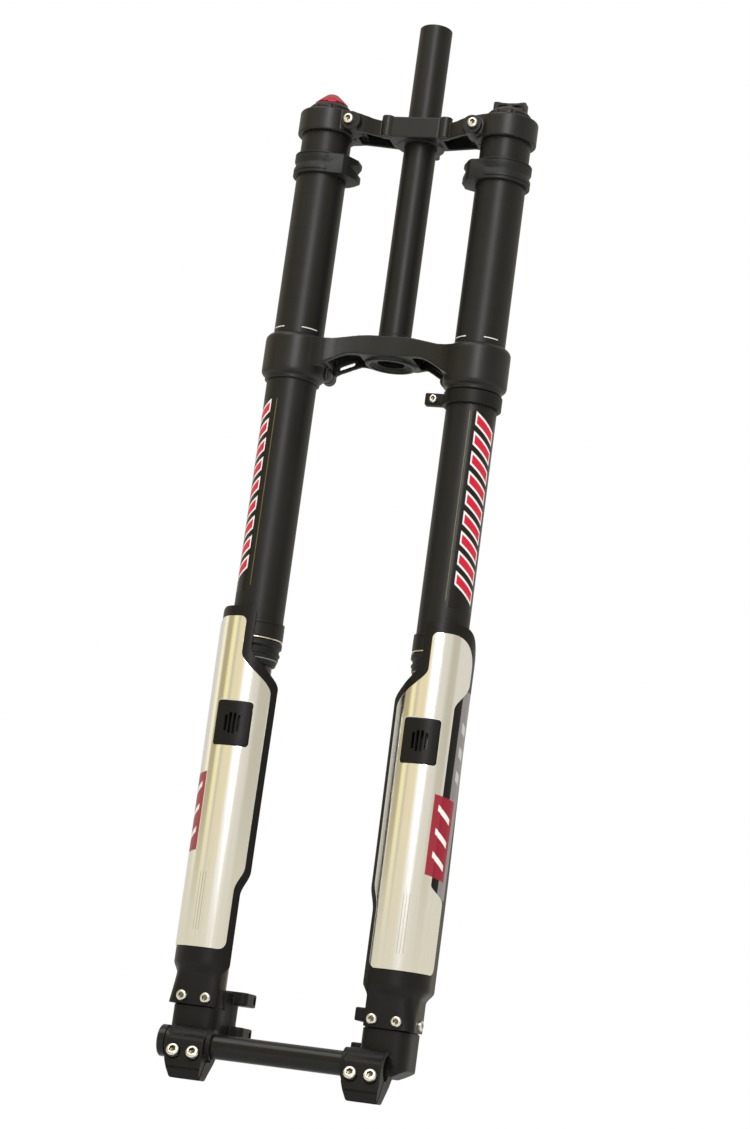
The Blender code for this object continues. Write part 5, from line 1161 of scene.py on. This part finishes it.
# %% Guard shells with their vent
VENT = 264.6
vent_z = axle_z + VENT
for word, side in SIDES.items():
    x, y = legs[word][:2]
    rows = sheet_levels(GUARD_FOOT, GUARD_TOP, 1.5, 29.0, 1.5)
    shell = sheet("guard_" + word, side, rows, guard_edges, 0.0, GUARD_WALL, 80)
    soften(shell, 0.7, 3, 50)
    pad_angle = math.asin(14.6 / guard_radius(VENT, 0))
    rows = [VENT - 18.4 + 36.8 * i / 30 for i in range(31)]
    pad = sheet("vent_pad", side, rows, lambda height: (pad_angle, pad_angle), 1.1, 2.0, 32)
    soften(pad, 0.6, 3, 50)
    carve(shell, pad, "UNION")
    for across, tall in ((-5.6, 7.0), (-1.9, 9.0), (1.9, 9.0), (5.6, 7.0)):
        slot = arc((x + across, vent_z + tall - 1.2), 1.2, 0, 180, 8)
        slot += arc((x + across, vent_z - tall + 1.2), 1.2, 180, 360, 8)
        carve(shell, prism("vent_slot", slot, "front", y - 60, y))
    for place in GUARD_SEATS:
        seat, way = guard_seat(side, place)
        carve(shell, rod("guard_hole", seat - way * 9, seat + way * 9, 2.7, 32))
    dress(shell, guard_plastic, "guard_shell_" + word)
print("guard shells made")

# %% Polished plates
for word, side in SIDES.items():
    x, y = legs[word][:2]
    rows = sheet_levels(PLATE_FOOT, PLATE_TOP, 7.0, 26.0, 1.5)
    plate = sheet("plate_" + word, side, rows, lambda height: plate_edges(height, side), PLATE_LIFT, 0.7, 80)
    window = []
    for cx, cz, start in ((13.0, 16.5, 0), (-13.0, 16.5, 90), (-13.0, -16.5, 180), (13.0, -16.5, 270)):
        window += arc((x + cx, vent_z + cz), 2.5, start, start + 90, 6)
    carve(plate, prism("plate_window", window, "front", y - 60, y))
    soften(plate, 0.3, 2, 50)
    dress(plate, polished, "guard_plate_" + word)
print("plates made")

# %% [markdown]
# ## Bolts
# Every bolt is the same socket-head screw in another size: a round head with a soft rim and a hexagon, whose
# faces carry a mark where the zinc finish paints the hollow's shade dark. One is modelled for each size, and copies are
# turned to their seats.


# %% Model a bolt of each size
def model_bolt(thread):
    """A socket-head screw for a thread, in millimetres, with its head's foot at the origin."""
    head, tall = thread * 0.875, thread * 0.9
    profile = [(0, tall), (head - 1.3, tall), (head - 0.5, tall - 0.3), (head, tall - 1.0), (head, 0.4),
               (head - 0.2, 0.2), (thread / 2, 0.2), (thread / 2, -thread * 1.4), (0, -thread * 1.4)]
    bolt = lathe("bolt_model", profile, steps=48, ring=False)
    carve(bolt, rod("hexagon", (0, 0, tall - thread * 0.55), (0, 0, tall + 1), thread * 0.50, 6))
    soften(bolt, 0.12, 2, 35)
    # Faces inside the hexagon get the socket mark, and the zinc finish paints them dark as the shade in the hollow.
    socket = bolt.data.attributes.new("socket", "FLOAT", "FACE")
    for face in bolt.data.polygons:
        reach, level = face.center.xy.length / MM, face.center.z / MM
        socket.data[face.index].value = 1.0 if reach < thread * 0.49 and 0.3 < level < tall - 0.2 else 0.0
    return bolt


BOLTS = {thread: model_bolt(thread) for thread in (4.0, 5.0, 6.0, 8.0)}
print("bolt sizes:", sorted(BOLTS))


# %% Seat the bolts
def seat_bolt(node, thread, seat, way, finish=zinc):
    """Copy a bolt to its seat, pointing along its way into the piece."""
    clear_selection()
    bolt = BOLTS[thread].copy()
    bolt.data = BOLTS[thread].data.copy()
    bpy.context.collection.objects.link(bolt)
    bolt.name = bolt.data.name = node + "_seated"
    turn = (-Vector(way)).to_track_quat("Z", "Y").to_matrix().to_4x4()
    bolt.data.transform(Matrix.Translation(Vector(seat) * MM) @ turn)
    dress(bolt, finish, node)


for word, side in SIDES.items():
    x, y = legs[word][:2]
    seat_bolt("upper_crown_bolt_" + word, 5.0, (side * UPPER_BOLT[0], *UPPER_BOLT[1:]), (0, 1, 0))
    for name, level in zip(("upper", "lower"), LOWER_BOLT_LEVELS):
        seat = (side * LOWER_BOLT_X, LOWER_BOLT_SEAT, level)
        seat_bolt("lower_crown_%s_bolt_%s" % (name, word), 6.0, seat, (0, -1, 0), black_steel)
    for end, across in zip(("first", "second"), PINCH_X if side > 0 else PINCH_X[::-1]):
        seat = Vector((side * across, *PINCH_SEAT)) - PINCH_WAY * 2.0
        seat_bolt("axle_pinch_bolt_%s_%s" % (end, word), 6.0, seat, PINCH_WAY)
    for place in GUARD_SEATS:
        seat_bolt("guard_bolt_%s_%s" % (place, word), 5.0, *guard_seat(side, place))
    seat_bolt("foot_bolt_" + word, 8.0, (x, y, axle_z + 0.2), (0, 0, 1))
seat_bolt("steerer_clamp_bolt", 6.0, (-10.0, 27.0, UPPER_BOLT[2]), (1, 0, 0), black_steel)
seat_bolt("hose_guide_bolt", 4.0, (47.8, LEG_Y / MM - 4.0, -49.55), (0, 1, 0))
for model in BOLTS.values():
    bpy.data.objects.remove(model)
print("bolts seated")

# %% [markdown]
# ## Inner workings
# The bushings, rods, pistons and cartridges are inside the tubes. Their CAD solids stay, with a metal
# finish of their own.

# %% Finish the hidden pieces
for node, thing in frame["nodes"].items():
    if not thing.hide_render:
        finish = bronze if SLOT_OF[node] == "bronze" else bare_alloy
        thing.data.materials.clear()
        thing.data.materials.append(finish.material)
print("hidden pieces finished")

# %% [markdown]
# The dressed fork has to fill the same box as the CAD model.

# %% Clear the selection and finish
clear_selection()
